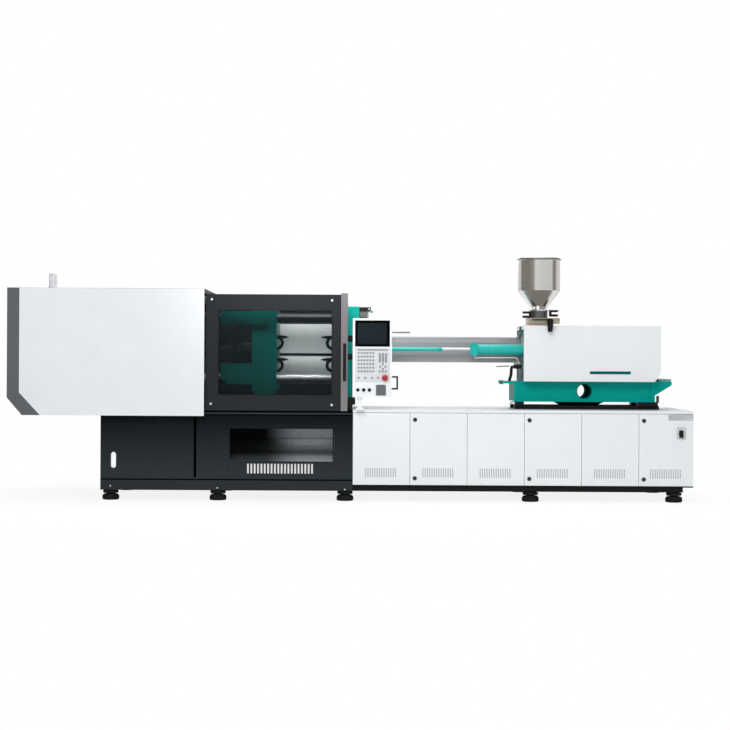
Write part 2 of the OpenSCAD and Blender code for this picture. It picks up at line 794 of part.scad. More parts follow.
// Handle of the front door
module door_handle() color("#17181a") mirror([0, 1, 0])
    bow(door_x1 + edge_w/2 + 3, door_out + edge_proud, [grip_z[0] + 15, grip_z[1] - 15], grip_out - 5,
        grip_d);

// Rear guard door: a framed sheet with a middle rail and its handle
module rear_door() color("#a2a6a6") {
    x1 = door_x1 + edge_w;
    difference() {
        block([door_x0, x1], [door_in, door_out], [door_z0, door_z1]);
        for (z = [[door_z0 + 90, axis_z - 60], [axis_z - 30, door_z1 - 80]]) {
            block([door_x0 + 80, x1 - 80], [door_in - 1, door_in + door_t/2 - 2], z);
            block([door_x0 + 80, x1 - 80], [door_out - door_t/2 + 2, door_out + 1], z);
        }
        guide_groove();
    }
    door_hooks();
    bow(x1 - 40, door_out, [axis_z - 150, axis_z + 150], 30, 24);
}

// Injection unit

shoe_x = [[1765, 1860], [3085, 3300]];
swivel_x = 2482;
swivel_d = 575;
swivel_in = 150;
swivel_t = 38;
hole_x = 2507;
hole_z = 1157;
hole_d = 160;
face_rim = 45;
tip_x = 1631;
tail_tip_x = 3445;

// Cast carriage beam with a cross hole and a flanged tail
module carriage() color("#12a294") difference() {
    side_plate(-beam_half, beam_half)
        polygon([[beam_x0, beam_z0], [beam_x1, beam_z0], [beam_x1, beam_z0 + 73],
            [tail_tip_x, beam_z1 - 37], [tail_tip_x, beam_z1], [tip_x, beam_z1], [tip_x, beam_z1 - 25],
            [beam_x0, beam_z1 - 25]]);
    ycyl(-beam_half - 1, beam_half + 1, hole_x, hole_z, hole_d);
    both_sides()
        block([beam_x0 + face_rim, beam_x1 - face_rim], [beam_half - 8, beam_half + 1],
            [beam_z0 + face_rim/2, beam_z1 - face_rim/2]);
    block([beam_x1 - 60, tail_tip_x + 1], [30 - beam_half, beam_half - 30], [beam_z0 - 1, beam_z1 - 40]);
}

// Black shoes on the rails and the round swivel plate under the beam
module carriage_base() color("#1c1d1f") {
    for (x = shoe_x)
        both_sides() block(x, [guide_y[0] - 30, guide_y[1] + 30], [cab_top + guide_h + run_c, beam_z0]);
    difference() {
        translate([swivel_x, 0, beam_z0 - swivel_t])
            cylinder(d1 = swivel_d - swivel_in, d2 = swivel_d, h = swivel_t);
        zcyl(beam_z0 - swivel_t - 1, beam_z0 - swivel_t/2, swivel_x, 0, swivel_d - 2*swivel_in);
    }
}

nozzle_d = 60;
front_x = fixed_x1 + 220;
barrel_x1 = block_x1 + 30;
throat_d = 90;
band_n = 6;
band_x0 = 450;
band_pitch = 222;
band_l = 190;
band_t = 10;

// Barrel with its nozzle, and the heater bands round it
module barrel() color("#9a9ea0") {
    difference() {
        translate([0, 0, axis_z]) rotate([0, 90, 0]) rotate_extrude()
            polygon([[4, nozzle_tip_x], [14, nozzle_tip_x], [nozzle_d/2, nozzle_tip_x + 40],
                [nozzle_d/2, front_x - 90], [barrel_d/2 - 20, front_x - 60], [barrel_d/2, front_x],
                [barrel_d/2, barrel_x1], [screw_d/2 + fit_c, barrel_x1], [screw_d/2 + fit_c, front_x - 20],
                [4, front_x - 60]]);
        zcyl(axis_z, axis_z + barrel_d, hopper_x, 0, throat_d);
    }
    for (i = [0:band_n - 1])
        difference() {
            xcyl(band_x0 + i*band_pitch, band_x0 + i*band_pitch + band_l, 0, axis_z, barrel_d + 2*band_t);
            xcyl(band_x0 + i*band_pitch - 1, band_x0 + i*band_pitch + band_l + 1, 0, axis_z,
                barrel_d + 2*fit_c);
        }
}

hood_x0 = 425;
hood_x1 = block_x0 - 81;
hood_half = 150;
hood_z = [axis_z - 140, axis_z + 122];
hood_cut = 45;
hood_t = 2;

// Outline of the barrel cover, set in by t
module hood_outline(t) {
    w = hood_half - t;
    polygon([[-w, hood_z[0] + t], [w, hood_z[0] + t], [w, hood_z[1] - hood_cut], [w - hood_cut, hood_z[1] - t],
        [hood_cut - w, hood_z[1] - t], [-w, hood_z[1] - hood_cut]]);
}

vent_n = 34;
vent_pitch = 40;
vent_l = 26;
vent_w = 8;

// Barrel cover: a folded hood with end plates on the barrel and a row of vent slots along the top
module barrel_cover() color("#85888a") difference() {
    translate([hood_x0, 0, 0]) rotate([90, 0, 90]) linear_extrude(hood_x1 - hood_x0) hood_outline(0);
    translate([hood_x0 + hood_t, 0, 0]) rotate([90, 0, 90])
        linear_extrude(hood_x1 - hood_x0 - 2*hood_t) hood_outline(hood_t);
    xcyl(hood_x0 - 1, hood_x1 + 1, 0, axis_z, barrel_d + 2*fit_c);
    for (i = [0:vent_n - 1], y = [20 - hood_half + hood_cut, hood_half - hood_cut - 20 - vent_w])
        block([hood_x0 + 20 + i*vent_pitch, hood_x0 + 20 + i*vent_pitch + vent_l], [y, y + vent_w],
            [hood_z[1] - 10, hood_z[1] + 1]);
}

seat_rod_d = 37;
seat_tube_d = 42;
seat_tube_x1 = 953;
seat_cyl_x0 = 1281;
seat_cyl_d = 110;

// Rods that pull the carriage to the fixed platen, sleeved over their first length
module seat_rods() color("#1f9c90") both_sides() {
    xcyl(fixed_x1, seat_tube_x1, seat_y, axis_z, seat_tube_d);
    xcyl(seat_tube_x1, block_x0 - 150, seat_y, axis_z, seat_rod_d);
}

// Carriage cylinders on the injection housing, with a square front flange
module seat_cylinders() color("#8f9395") both_sides() difference() {
    union() {
        xcyl(seat_cyl_x0 + 78, block_x0, seat_y, axis_z, seat_cyl_d);
        block([seat_cyl_x0, seat_cyl_x0 + 78], [seat_y - 65, seat_y + 65], [axis_z - 65, axis_z + 65]);
    }
    xcyl(seat_cyl_x0 - 1, block_x0 - 40, seat_y, axis_z, seat_rod_d + 2*fit_c);
}

inj_half = inj_cover_w/2;
inj_cut = [63, 94];
inj_slot_x = [2549, 2987];
inj_slot_z = [1341, 1373];
inj_flange = 45;

// White cover of the injection drive, with a hemmed foot on the beam
module injection_cover() color("#ececea") difference() {
    side_plate(-inj_half, inj_half) cover_outline(0);
    side_plate(sheet_t - inj_half, inj_half - sheet_t) cover_outline(sheet_t);
    block([hood_x1 + 30, beam_x1 - 70], [10 - beam_half, beam_half - 10], [beam_z1 - 1, beam_z1 + 10]);
    block([hood_x1 - 1, hood_x1 + 10], [inj_flange - inj_half, inj_half - inj_flange],
        [beam_z1 - 1, inj_cover_z1 - inj_flange]);
    block([hood_x1 - 1, hopper_x + 145], [-145, 145], [inj_cover_z1 - inj_flange - 1, inj_cover_z1 + 1]);
    block(inj_slot_x, [-inj_half - 1, 10 - inj_half], inj_slot_z);
}

// Side outline of the injection cover, set in by t
module cover_outline(t) {
    polygon([[hood_x1 + t, beam_z1 + t], [inj_cover_x1 - inj_cut[0] - t/2, beam_z1 + t],
        [inj_cover_x1 - t, beam_z1 + inj_cut[1] + t/2], [inj_cover_x1 - t, inj_cover_z1 - t],
        [hood_x1 + t, inj_cover_z1 - t]]);
}

// Hopper

throat_half = 55;
neck_z0 = inj_cover_z1 + 27;
neck_z1 = inj_cover_z1 + 87;
neck_top = inj_cover_z1 + 163;
neck_r = 74;
cone_h = 222;
hopper_t = 3;
rim = 12;

// Spun steel hopper: foot flange, cone, cylinder and rolled rim
module hopper() color("#b4b8ba") translate([hopper_x, 0, 0]) rotate_extrude() {
    r = hopper_d/2;
    polygon([[neck_r - hopper_t, neck_top], [neck_r + 36, neck_top], [neck_r + 36, neck_top + 12],
        [neck_r, neck_top + 12], [neck_r, neck_top + 20], [r, neck_top + cone_h],
        [r, hopper_top - 2*rim], [r + rim/2, hopper_top - 2*rim], [r + rim, hopper_top - 1.5*rim],
        [r + rim, hopper_top - rim/2], [r + rim/2, hopper_top], [r - hopper_t, hopper_top],
        [r - hopper_t, neck_top + cone_h + 1], [neck_r - hopper_t, neck_top + 21]]);
}

gate_half = 90;
gate_z = [neck_z0 + 35, neck_z0 + 45];
base_x = [-126, 212];
base_half = 150;
seat_d = 190;

// Hopper base: a square neck through the cover, the slotted gate housing and a round seat
module hopper_base() color("#8c9092") translate([hopper_x, 0, 0]) difference() {
    union() {
        block([-130, 130], [-130, 130], [block_z1, neck_z0]);
        block(base_x, [-base_half, base_half], [neck_z0, neck_z1]);
        zcyl(neck_z1, neck_top, 0, 0, seat_d);
    }
    block([-throat_half, throat_half], [-throat_half, throat_half], [block_z1 - 1, neck_top + 1]);
    block([-gate_half - run_c, gate_half + run_c], [-base_half - 1, base_half + 1],
        [gate_z[0] - run_c, gate_z[1] + run_c]);
}

gate_grip_y = inj_half + 42;
grip_x = 72;
grip_l = 130;

// Slide gate of the hopper, open at rest, with a bent arm and a hanging grip
module hopper_gate() color("#2a2b2d") translate([hopper_x, 0, 0]) {
    difference() {
        block([-gate_half, gate_half], [-base_half - 20, base_half + 60], gate_z);
        block([-throat_half, throat_half], [-throat_half, throat_half], [gate_z[0] - 1, gate_z[1] + 1]);
    }
    block([grip_x - 23, grip_x + 23], [-gate_grip_y - 20, -base_half - 15], gate_z);
    translate([grip_x, -gate_grip_y, gate_z[0] - grip_l])
        cylinder(d1 = 50, d2 = 74, h = grip_l);
}

block_half = 285;
inj_cyl_d = 120;
inj_rod_d = 60;
inj_cyl_l = 330;

// Housing that holds the barrel and the hopper throat, with the two injection cylinders
module injection_housing() color("#1b9488") difference() {
    union() {
        block([block_x0, block_x1], [-block_half, block_half], [beam_z1, block_z1]);
        both_sides() xcyl(block_x1, block_x1 + inj_cyl_l, cyl_y, axis_z, inj_cyl_d);
    }
    xcyl(block_x0 - 1, block_x1 + 1, 0, axis_z, barrel_d + 2*fit_c);
    block([hopper_x - throat_half, hopper_x + throat_half], [-throat_half, throat_half], [axis_z, block_z1 + 1]);
    both_sides() xcyl(block_x0 + 30, block_x1 + inj_cyl_l + 1, cyl_y, axis_z, inj_rod_d + 2*fit_c);
}

shank_d = 50;
drive_motor_d = 260;

// Drive plate with the piston rods and the screw motor
module drive_unit() color("#60676b") {
    difference() {
        block([drive_x0, drive_x0 + drive_t], [-block_half, block_half], [axis_z - 150, axis_z + 150]);
        xcyl(drive_x0 - 1, screw_tail_x, 0, axis_z, shank_d + 2*fit_c);
    }
    both_sides() xcyl(block_x1 + 50, drive_x0, cyl_y, axis_z, inj_rod_d);
    xcyl(drive_x0 + drive_t, drive_x0 + drive_t + motor_l, 0, axis_z, drive_motor_d);
    xcyl(drive_x0 + drive_t, drive_x0 + drive_t + 40, 0, axis_z, drive_motor_d + 40);
}

tip_start = front_x + 20;

// Plasticising screw: tip, check ring, flighted body and drive shank
module screw() color("#c9ccce") translate([0, 0, axis_z]) rotate([0, 90, 0]) rotate_extrude()
    polygon([[0, tip_start], [8, tip_start], [screw_d/2 - 8, tip_start + 70], [screw_d/2 - 8, tip_start + 80],
        [screw_d/2, tip_start + 80], [screw_d/2, barrel_x1 + 60], [shank_d/2, barrel_x1 + 70],
        [shank_d/2, screw_tail_x - 1], [0, screw_tail_x - 1]]);

guard_x1 = 420;
guard_z0 = axis_z - 100;
guard_top = axis_z + 300;
guard_slot = 160;
cheek_t = 10;

// Purge guard over the nozzle: a slotted cheek plate, a sheet hood, hinge pins and a ball handle
module purge_guard() color("#a9c9b4") {
    difference() {
        union() {
            block([guard_x0, guard_x0 + cheek_t], [-guard_half, guard_half], [guard_z0, platen_z1 - 5]);
            block([guard_x0, guard_x1], [-guard_half, guard_half], [guard_top, guard_top + sheet_t]);
            both_sides() block([guard_x0, guard_x1], [guard_half - sheet_t, guard_half], [guard_z0, guard_top]);
        }
        block([guard_x0 - 1, guard_x0 + cheek_t + 1], [-guard_slot, guard_slot], [guard_z0 - 1, axis_z + 160]);
    }
    both_sides() {
        ycyl(guard_half - 30, hinge_y[1], hinge_x, hinge_z, hinge_d);
    }
    xcyl(guard_x0 + cheek_t, guard_x0 + 32, -guard_half + 60, platen_z1 - 40, 12);
    translate([guard_x0 + 42, -guard_half + 60, platen_z1 - 40]) sphere(d = 40);
}

// Control panel

arm_x = [swing_x - 42, swing_x + 42];
pivot_d = 30;

// Bracket on the cabinet's top that carries the panel on a pin
module panel_arm() color("#e4e5e2") {
    block(arm_x, [swing_y - 20, 100 - half_w], [cab_top, cab_top + 16]);
    block([swing_x - 24, swing_x + 24], [swing_y - 20, swing_y + 20], [cab_top + 16, panel_z0 - run_c]);
    zcyl(panel_z0 - run_c, panel_z0 + 60, swing_x, swing_y, pivot_d);
}

stop_at = [panel_x0 + 337, panel_z0 + 203];
stop_stem = 22;
port_x = [55, 116, 176];
port_z = 77;
port_d = 27;
flap_x = [244, 347];
flap_z = [21, 126];
flap_t = 8;
pad_x = [24, 391];
pad_z = [158, 514];
pad_t = 2;
screen_x = [24, 386];
screen_z = [530, 803];
screen_t = 5;

// White panel housing with three port caps
module control_panel() color("#ecedeb") difference() {
    union() {
        block([panel_x0, panel_x1], [-panel_front, -panel_back], [panel_z0, panel_z1]);
        for (x = port_x)
            ycyl(-panel_front - 4, -panel_front, panel_x0 + x, panel_z0 + port_z, port_d);
    }
    zcyl(panel_z0 - 1, panel_z0 + 61, swing_x, swing_y, pivot_d + 2*fit_c);
    ycyl(-panel_front - 1, 60 - panel_front, stop_at[0], stop_at[1], stop_stem + 2*fit_c);
}

// Screen in its black bezel
module panel_screen() color("#22282f") translate([panel_x0, -panel_front, panel_z0]) difference() {
    block(screen_x, [-screen_t, 0], screen_z);
    block([screen_x[0] + 26, screen_x[1] - 30], [-screen_t - 1, 3 - screen_t],
        [screen_z[0] + 26, screen_z[1] - 26]);
}

key = [22, 20];
key_t = 1.5;
round_keys = [62, 132, 204, 265];

// Membrane keypad with raised keys and the collar of the emergency stop
module keypad() color("#cfccd6") difference() {
    union() {
        translate([panel_x0, -panel_front - pad_t, panel_z0]) {
            block(pad_x, [0, pad_t], pad_z);
            for (i = [0:5], j = [0:5])
                translate([pad_x[0] + 27 + 30.5*i, -key_t, pad_z[0] + 103 + 38.5*j])
                    cube([key[0], key_t, key[1]]);
            for (i = [0:2]) {
                translate([pad_x[0] + 248 + 32*i, -key_t, pad_z[0] + 205]) cube([key[0], key_t, 100]);
                translate([pad_x[0] + 248 + 32*i, -key_t, pad_z[0] + 103]) cube([key[0], key_t, key[1]]);
            }
            for (a = [0:90:270])
                translate([pad_x[0] + 291 + 27*cos(a), -key_t, pad_z[0] + 163 + 25*sin(a)])
                    translate([-key[0]/2, 0, -key[1]/2]) cube([key[0], key_t, key[1]]);
            translate([pad_x[0] + 27, -key_t, pad_z[0] + 330]) cube([317, key_t, 14]);
            for (x = round_keys)
                ycyl(-key_t, pad_t/2, x, pad_z[0] + 45, 24);
        }
        ycyl(-panel_front - pad_t - 4, -panel_front, stop_at[0], stop_at[1], 80);
    }
    ycyl(-panel_front - 10, 1 - panel_front, stop_at[0], stop_at[1], stop_stem + 2*fit_c);
}

// U grip on the panel's right side
module panel_handle() color("#1a1b1d") {
    for (z = [panel_z0 + 90, panel_z0 + 214])
        xcyl(panel_x1, panel_x1 + 58, swing_y, z, 18);
    zcyl(panel_z0 + 81, panel_z0 + 223, panel_x1 + 58, swing_y, 18);
}

// Mushroom emergency stop
module emergency_stop() color("#b0303c") translate([stop_at[0], -panel_front, stop_at[1]])
    rotate([90, 0, 0]) rotate_extrude()
        polygon([[0, -50], [stop_stem/2, -50], [stop_stem/2, 18], [28, 18], [28, 26], [24, 34], [14, 39],
            [0, stop_h]]);

// Flap over the socket, hinged on a round knuckle along its top
module socket_flap() color("#a8a9ac") translate([panel_x0, -panel_front, panel_z0]) {
    block(flap_x, [-flap_t - run_c, -run_c], flap_z);
    xcyl(flap_x[0] + 10, flap_x[1] - 10, -flap_t/2 - run_c, flap_z[1] + 2, flap_t);
}

// Cabinet doors

pivot_in = 6;
hinge_in = 12;
leaf_pin_d = 8;
leaf_pin_h = 12;
leaf_z = [cab_floor + leaf_gap, cab_top - top_t - leaf_gap];
vent_z = leaf_z[0] + 80;
lock_d = 44;
slit_n = 14;
slit_pitch = 24;
slit_w = 11;
slit_h = 96;

// Hinge axis of leaf i: odd leaves turn at their left edge, even ones at their right
function hinge_at(i) = i % 2 == 1 ? leaf_x[i - 1] + leaf_gap/2 + hinge_in
    : leaf_x[i] - leaf_gap/2 - hinge_in;

// Folded door leaf with vent slots, pivot pins and, on even leaves, two locks
module leaf(i) color("#e7e8e6") {
    x = [leaf_x[i - 1] + leaf_gap/2, leaf_x[i] - leaf_gap/2];
    mid = (x[0] + x[1])/2;
    difference() {
        block(x, [-half_w, leaf_t - half_w], leaf_z);
        block([x[0] + 20, x[1] - 20], [2 - half_w, leaf_t - half_w + 1], [leaf_z[0] + 20, leaf_z[1] - 20]);
        for (k = [0:slit_n - 1])
            block([mid + (k - slit_n/2)*slit_pitch, mid + (k - slit_n/2)*slit_pitch + slit_w],
                [-half_w - 1, 1.2 - half_w], [vent_z, vent_z + slit_h]);
    }
    for (z = [leaf_z[0] - leaf_pin_h, leaf_z[1]])
        zcyl(z, z + leaf_pin_h, hinge_at(i), pivot_in - half_w, leaf_pin_d);
    if (i % 2 == 0)
        for (z = [leaf_z[0] + 70, leaf_z[1] - 70])
            ycyl(-half_w - 5, -half_w, x[0] + 50, z, lock_d);
}

module cabinet_door_1() leaf(1);
module cabinet_door_2() leaf(2);
module cabinet_door_3() leaf(3);
module cabinet_door_4() leaf(4);
module cabinet_door_5() leaf(5);
module cabinet_door_6() leaf(6);

switch_at = [x_right - 134, cab_top - 239];
switch_d = 44;
switch_h = 78;

// Turning handle of the main switch on the last leaf
module main_switch() color("#1b1c1e") {
    ycyl(-half_w - 20, -half_w - run_c, switch_at[0], switch_at[1], switch_d);
    block([switch_at[0] - switch_d/2, switch_at[0] + switch_d/2], [-half_w - 34, -half_w - 20],
        [switch_at[1] - switch_h/2, switch_at[1] + switch_h/2]);
}

// Everything stands with the middle of its box over the origin
module placed() translate([0, y_shift, 0]) children();

placed() clamp_bed();
placed() bed_panels();
placed() chute_tray();
placed() injection_frame();
placed() base_rails();
placed() leveling_feet();
placed() hydraulic_unit();
placed() cabinet_panels();
placed() cover_sides();
placed() cover_top();
placed() cover_end();
placed() door_rails();
placed() tail_platen();
placed() tie_bars();
placed() fixed_platen();
placed() clamp_cylinder();
placed() seat_rods();
placed() panel_arm();
placed() signal_lamp();
placed() moving_platen();
placed() ejector_cylinder();
placed() ejector_rod();
placed() crosshead();
placed() rear_link_upper();
placed() rear_link_lower();
placed() front_link_upper();
placed() front_link_lower();
placed() cross_link_upper();
placed() cross_link_lower();
placed() door_frame();
placed() door_window();
placed() door_edge();
placed() door_handle();
placed() rear_door();
placed() carriage();
placed() carriage_base();
placed() barrel();
placed() barrel_cover();
placed() seat_cylinders();
placed() injection_cover();
placed() hopper();
placed() hopper_base();
placed() injection_housing();
placed() drive_unit();
placed() screw();
placed() hopper_gate();
placed() purge_guard();
placed() control_panel();
placed() panel_screen();
placed() keypad();
placed() panel_handle();
placed() emergency_stop();
placed() socket_flap();
placed() cabinet_door_1();
placed() cabinet_door_2();
placed() cabinet_door_3();
placed() cabinet_door_4();
placed() cabinet_door_5();
placed() cabinet_door_6();
placed() main_switch();
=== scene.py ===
# %% [markdown]
# # An injection moulding machine, from bare solids to a finished look
# The machine's solids come in as a fixed frame, in metres, with every piece already in its place.
# This lesson gives each solid the finish it has on the shop floor, and then models the small things
# that make it look used and built: clamps, screws, gaskets, fittings.

import math

import bpy
from mathutils import Matrix, Vector


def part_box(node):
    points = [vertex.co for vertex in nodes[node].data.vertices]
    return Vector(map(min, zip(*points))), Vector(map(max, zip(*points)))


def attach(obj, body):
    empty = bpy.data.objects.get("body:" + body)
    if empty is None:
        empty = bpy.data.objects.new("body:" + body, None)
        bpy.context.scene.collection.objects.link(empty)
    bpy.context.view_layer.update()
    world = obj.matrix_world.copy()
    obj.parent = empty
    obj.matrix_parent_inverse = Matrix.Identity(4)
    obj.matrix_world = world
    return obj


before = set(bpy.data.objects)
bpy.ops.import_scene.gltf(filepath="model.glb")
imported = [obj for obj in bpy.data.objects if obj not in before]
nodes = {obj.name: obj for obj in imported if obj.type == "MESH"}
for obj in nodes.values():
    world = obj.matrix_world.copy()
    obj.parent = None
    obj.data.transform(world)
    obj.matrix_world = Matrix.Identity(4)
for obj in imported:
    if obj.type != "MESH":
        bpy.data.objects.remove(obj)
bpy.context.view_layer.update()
scene = bpy.context.scene

# %% [markdown]
# ## Camera
# The photograph was taken from about 18 m, square to the operator side, at the height of the barrel.
# A long lens with a small shift keeps upright lines upright, so the shift does the framing and the
# camera itself stays level, apart from a third of a degree of roll.

# %% Camera at the photograph's angle
MM_PER_PIXEL = 10.5
FRAME_WIDTH = 730 * MM_PER_PIXEL / 1000
DISTANCE = 18.0
FRONT_Y = -0.6875
EYE_Z, ROLL = 1.512, -0.3
MIDDLE_X, MIDDLE_Z = 0.145, 1.428
SENSOR = 36.0

lens = bpy.data.cameras.new("photo_camera")
lens.sensor_width = SENSOR
lens.lens = SENSOR * DISTANCE / FRAME_WIDTH
lens.clip_end = 200.0
lens.shift_x = MIDDLE_X / FRAME_WIDTH
lens.shift_y = (MIDDLE_Z - EYE_Z) / FRAME_WIDTH
camera = bpy.data.objects.new("photo_camera", lens)
camera.location = (0.0, FRONT_Y - DISTANCE, EYE_Z)
camera.rotation_euler = (math.radians(90), math.radians(ROLL), 0)
scene.collection.objects.link(camera)
scene.camera = camera
print("lens", round(lens.lens, 1), "mm")

# %% [markdown]
# ## Three small helpers
# Colours are picked as sRGB hex values, as in any paint program, and shaders want linear light, so one
# function turns the first into the second. One adds a shader node with its settings and links. The last
# starts a material and hands over its Object coordinates, on which every pattern here is laid out.

# %% Colour and node helpers
def linear(hex_colour):
    channels = [int(hex_colour[i:i + 2], 16) / 255 for i in (1, 3, 5)]
    return tuple(c / 12.92 if c <= 0.04045 else ((c + 0.055) / 1.055) ** 2.4 for c in channels) + (1.0,)


def add(tree, kind, settings=None, links=None):
    made = tree.nodes.new("ShaderNode" + kind)
    for name, value in (settings or {}).items():
        setattr(made, name, value)
    for name, value in (links or {}).items():
        if isinstance(value, bpy.types.NodeSocket):
            tree.links.new(value, made.inputs[name])
        else:
            made.inputs[name].default_value = value
    return made


def new_material(name):
    material = bpy.data.materials.new(name)
    material.use_nodes = True
    tree = material.node_tree
    tree.nodes.clear()
    return material, tree, add(tree, "TexCoord").outputs["Object"]


COLOUR = {"data_type": "RGBA"}
print("white as light:", [round(c, 3) for c in linear("#f2f3f3")])

# %% [markdown]
# ## Floor, background and light
# The machine stands in front of plain white. The world looks white to the camera, to mirrors and through
# glass, while it lights the scene at a plain level. The floor is pale and takes the shadow, and fades to
# the same white a few metres out, so no horizon shows.

# %% White world
world = bpy.data.worlds.new("studio")
scene.world = world
world.use_nodes = True
tree = world.node_tree
tree.nodes.clear()
ray = add(tree, "LightPath")
seen = add(tree, "Math", {"operation": "MAXIMUM"},
           {0: ray.outputs["Is Camera Ray"], 1: ray.outputs["Is Transmission Ray"]})
fill = add(tree, "Background", None, {"Color": (0.95, 0.97, 1.0, 1), "Strength": 0.50})
white = add(tree, "Background", None, {"Color": (1, 1, 1, 1), "Strength": 1.0})
glossy = add(tree, "Background", None, {"Color": (1, 1, 1, 1), "Strength": 0.8})
part = add(tree, "MixShader", None,
           {0: ray.outputs["Is Glossy Ray"], 1: fill.outputs[0], 2: glossy.outputs[0]})
mixed = add(tree, "MixShader", None, {0: seen.outputs[0], 1: part.outputs[0], 2: white.outputs[0]})
add(tree, "OutputWorld", None, {"Surface": mixed.outputs[0]})
print("world nodes", len(tree.nodes))

# %% Floor that fades into the white
FLOOR_SIZE, FADE_FROM, FADE_TO, NEAR_WHITE = 60, 2.2, 4.6, 0.87
bpy.ops.object.select_all(action="DESELECT")
bpy.ops.mesh.primitive_plane_add(size=FLOOR_SIZE, location=(0, 0, -0.0005))
floor = bpy.context.object
floor.name = "floor"
floor_finish, tree, place = new_material("pale studio floor")
ray = add(tree, "LightPath")
flat = add(tree, "Mapping", None, {"Vector": place, "Scale": (0.8, 1.0, 1.0)})
reach = add(tree, "VectorMath", {"operation": "LENGTH"}, {0: flat.outputs[0]})
fade = add(tree, "MapRange", {"interpolation_type": "SMOOTHSTEP"},
           {"Value": reach.outputs["Value"], "From Min": FADE_FROM, "From Max": FADE_TO,
            "To Min": NEAR_WHITE})
hide = add(tree, "Math", {"operation": "MULTIPLY"}, {0: fade.outputs[0], 1: ray.outputs["Is Camera Ray"]})
pale = add(tree, "BsdfDiffuse", None, {"Color": linear("#f4f4f3")})
lit = add(tree, "Emission", None, {"Color": (1, 1, 1, 1), "Strength": 1.0})
mixed = add(tree, "MixShader", None, {0: hide.outputs[0], 1: pale.outputs[0], 2: lit.outputs[0]})
add(tree, "OutputMaterial", None, {"Surface": mixed.outputs[0]})
floor.data.materials.append(floor_finish)
print("floor", floor.dimensions.x, "m across")

# %% Soft lamps
scene.view_settings.view_transform = "Standard"


def soft_lamp(name, place, target, size, power, spread=180):
    lamp = bpy.data.lights.new(name, "AREA")
    lamp.shape = "RECTANGLE"
    lamp.size, lamp.size_y = size
    lamp.energy, lamp.spread = power, math.radians(spread)
    holder = bpy.data.objects.new(name, lamp)
    holder.location = place
    holder.rotation_euler = (Vector(target) - Vector(place)).to_track_quat("-Z", "Y").to_euler()
    scene.collection.objects.link(holder)
    print(name, power, "W")


MOULD = (-0.55, 0.74, 1.5)
soft_lamp("key", (-2.0, -9.0, 7.5), (0, 0, 1.0), (7.0, 4.0), 560)
soft_lamp("top", (0.5, 0.5, 8.0), (0.3, 0, 1.0), (9.0, 4.0), 360)
soft_lamp("back", (2.0, 9.0, 5.0), (0, 0, 1.0), (8.0, 4.0), 330)
soft_lamp("mould front", (-0.55, -2.4, 3.6), MOULD, (1.6, 1.0), 8, spread=50)
soft_lamp("mould top", (-0.55, -1.0, 4.6), MOULD, (1.2, 0.5), 15, spread=50)

# %% [markdown]
# ## Flags
# Bright metal is nothing but what it mirrors, and plain white all round makes it look like grey paint. A
# photographer hangs dark cloths beside the camera and lays one under a cone. These are seen by mirrors
# alone: they cast no shadow, stop no light and never show in a picture.

# %% Dark flags for the hopper
FLAGS = {"flag_left": ((-4.775, -1.83, 3.0), (14.14, 6.0), (90, 0, 105)),
         "flag_right": ((11.8, -0.65, 3.0), (4.5, 6.0), (90, 0, 90)),
         "flag_low": ((2.05, -0.42, 1.95), (0.80, 0.70), (0, 0, 0))}
flag_finish, tree = new_material("dark flag cloth")[:2]
dark = add(tree, "Emission", None, {"Color": linear("#8a8680"), "Strength": 1.0})
add(tree, "OutputMaterial", None, {"Surface": dark.outputs[0]})
for name, (place, size, turn) in FLAGS.items():
    bpy.ops.object.select_all(action="DESELECT")
    bpy.ops.mesh.primitive_plane_add(size=1, location=place, rotation=[math.radians(a) for a in turn])
    flag = bpy.context.object
    flag.name = name
    flag.scale = (*size, 1)
    flag.data.materials.append(flag_finish)
    for ray_kind in ("camera", "diffuse", "shadow", "transmission", "volume_scatter"):
        setattr(flag, "visible_" + ray_kind, False)
    print(name, size[0], "m wide")

# %% [markdown]
# ## Paint
# The covers are folded sheet with powder coat: satin, with a fine orange peel, and never quite the same
# tone from one end to the other. The castings carry a thicker enamel over rough iron. Both are one
# recipe with different sizes: a slow drift of the colour and a small bump. A real peel is 1 or 2 mm
# across and would vanish at 10 mm to the pixel, so it is drawn at several millimetres to show. A ramp can
# paint shade on a sheet, darker at the top than at the foot, and a plane across one axis can part off
# another tone.

# %% Powder coat and enamel
def painted(name, colour, shade, roughness, peel_mm, peel_depth, drift_mm=600, shine=0.5, shade_ramp=None,
            over=()):
    material, tree, place = new_material(name)
    apart = add(tree, "SeparateXYZ", None, {0: place}) if shade_ramp or over else None
    drift = add(tree, "TexNoise", None, {"Vector": place, "Scale": 1000 / drift_mm, "Detail": 4.0})
    tone = add(tree, "Mix", COLOUR, {0: drift.outputs["Fac"], 6: linear(colour), 7: linear(shade)})
    # Painted shade: the tone runs from a lighter foot up to the full dark coat at the top.
    if shade_ramp:
        low, high, lighter = shade_ramp
        shade_fade = add(tree, "MapRange", None, {"Value": apart.outputs[2], "From Min": low, "From Max": high})
        tone = add(tree, "Mix", COLOUR, {0: shade_fade.outputs[0], 6: linear(lighter), 7: tone.outputs[2]})
    for test, axis, border, margin, parted in over:
        there = add(tree, "Math", {"operation": test}, {0: apart.outputs[axis], 1: border, 2: margin})
        tone = add(tree, "Mix", COLOUR, {0: there.outputs[0], 6: tone.outputs[2], 7: linear(parted)})
    peel = add(tree, "TexNoise", None, {"Vector": place, "Scale": 1000 / peel_mm, "Detail": 2.0})
    bump = add(tree, "Bump", None, {"Height": peel.outputs["Fac"], "Strength": 0.3, "Distance": peel_depth})
    gloss = add(tree, "MapRange", None,
                {"Value": drift.outputs["Fac"], "To Min": roughness - 0.06, "To Max": roughness + 0.08})
    skin = add(tree, "BsdfPrincipled", None,
               {"Base Color": tone.outputs[2], "Roughness": gloss.outputs[0], "Normal": bump.outputs[0],
                "Specular IOR Level": shine})
    add(tree, "OutputMaterial", None, {"Surface": skin.outputs[0]})
    return material


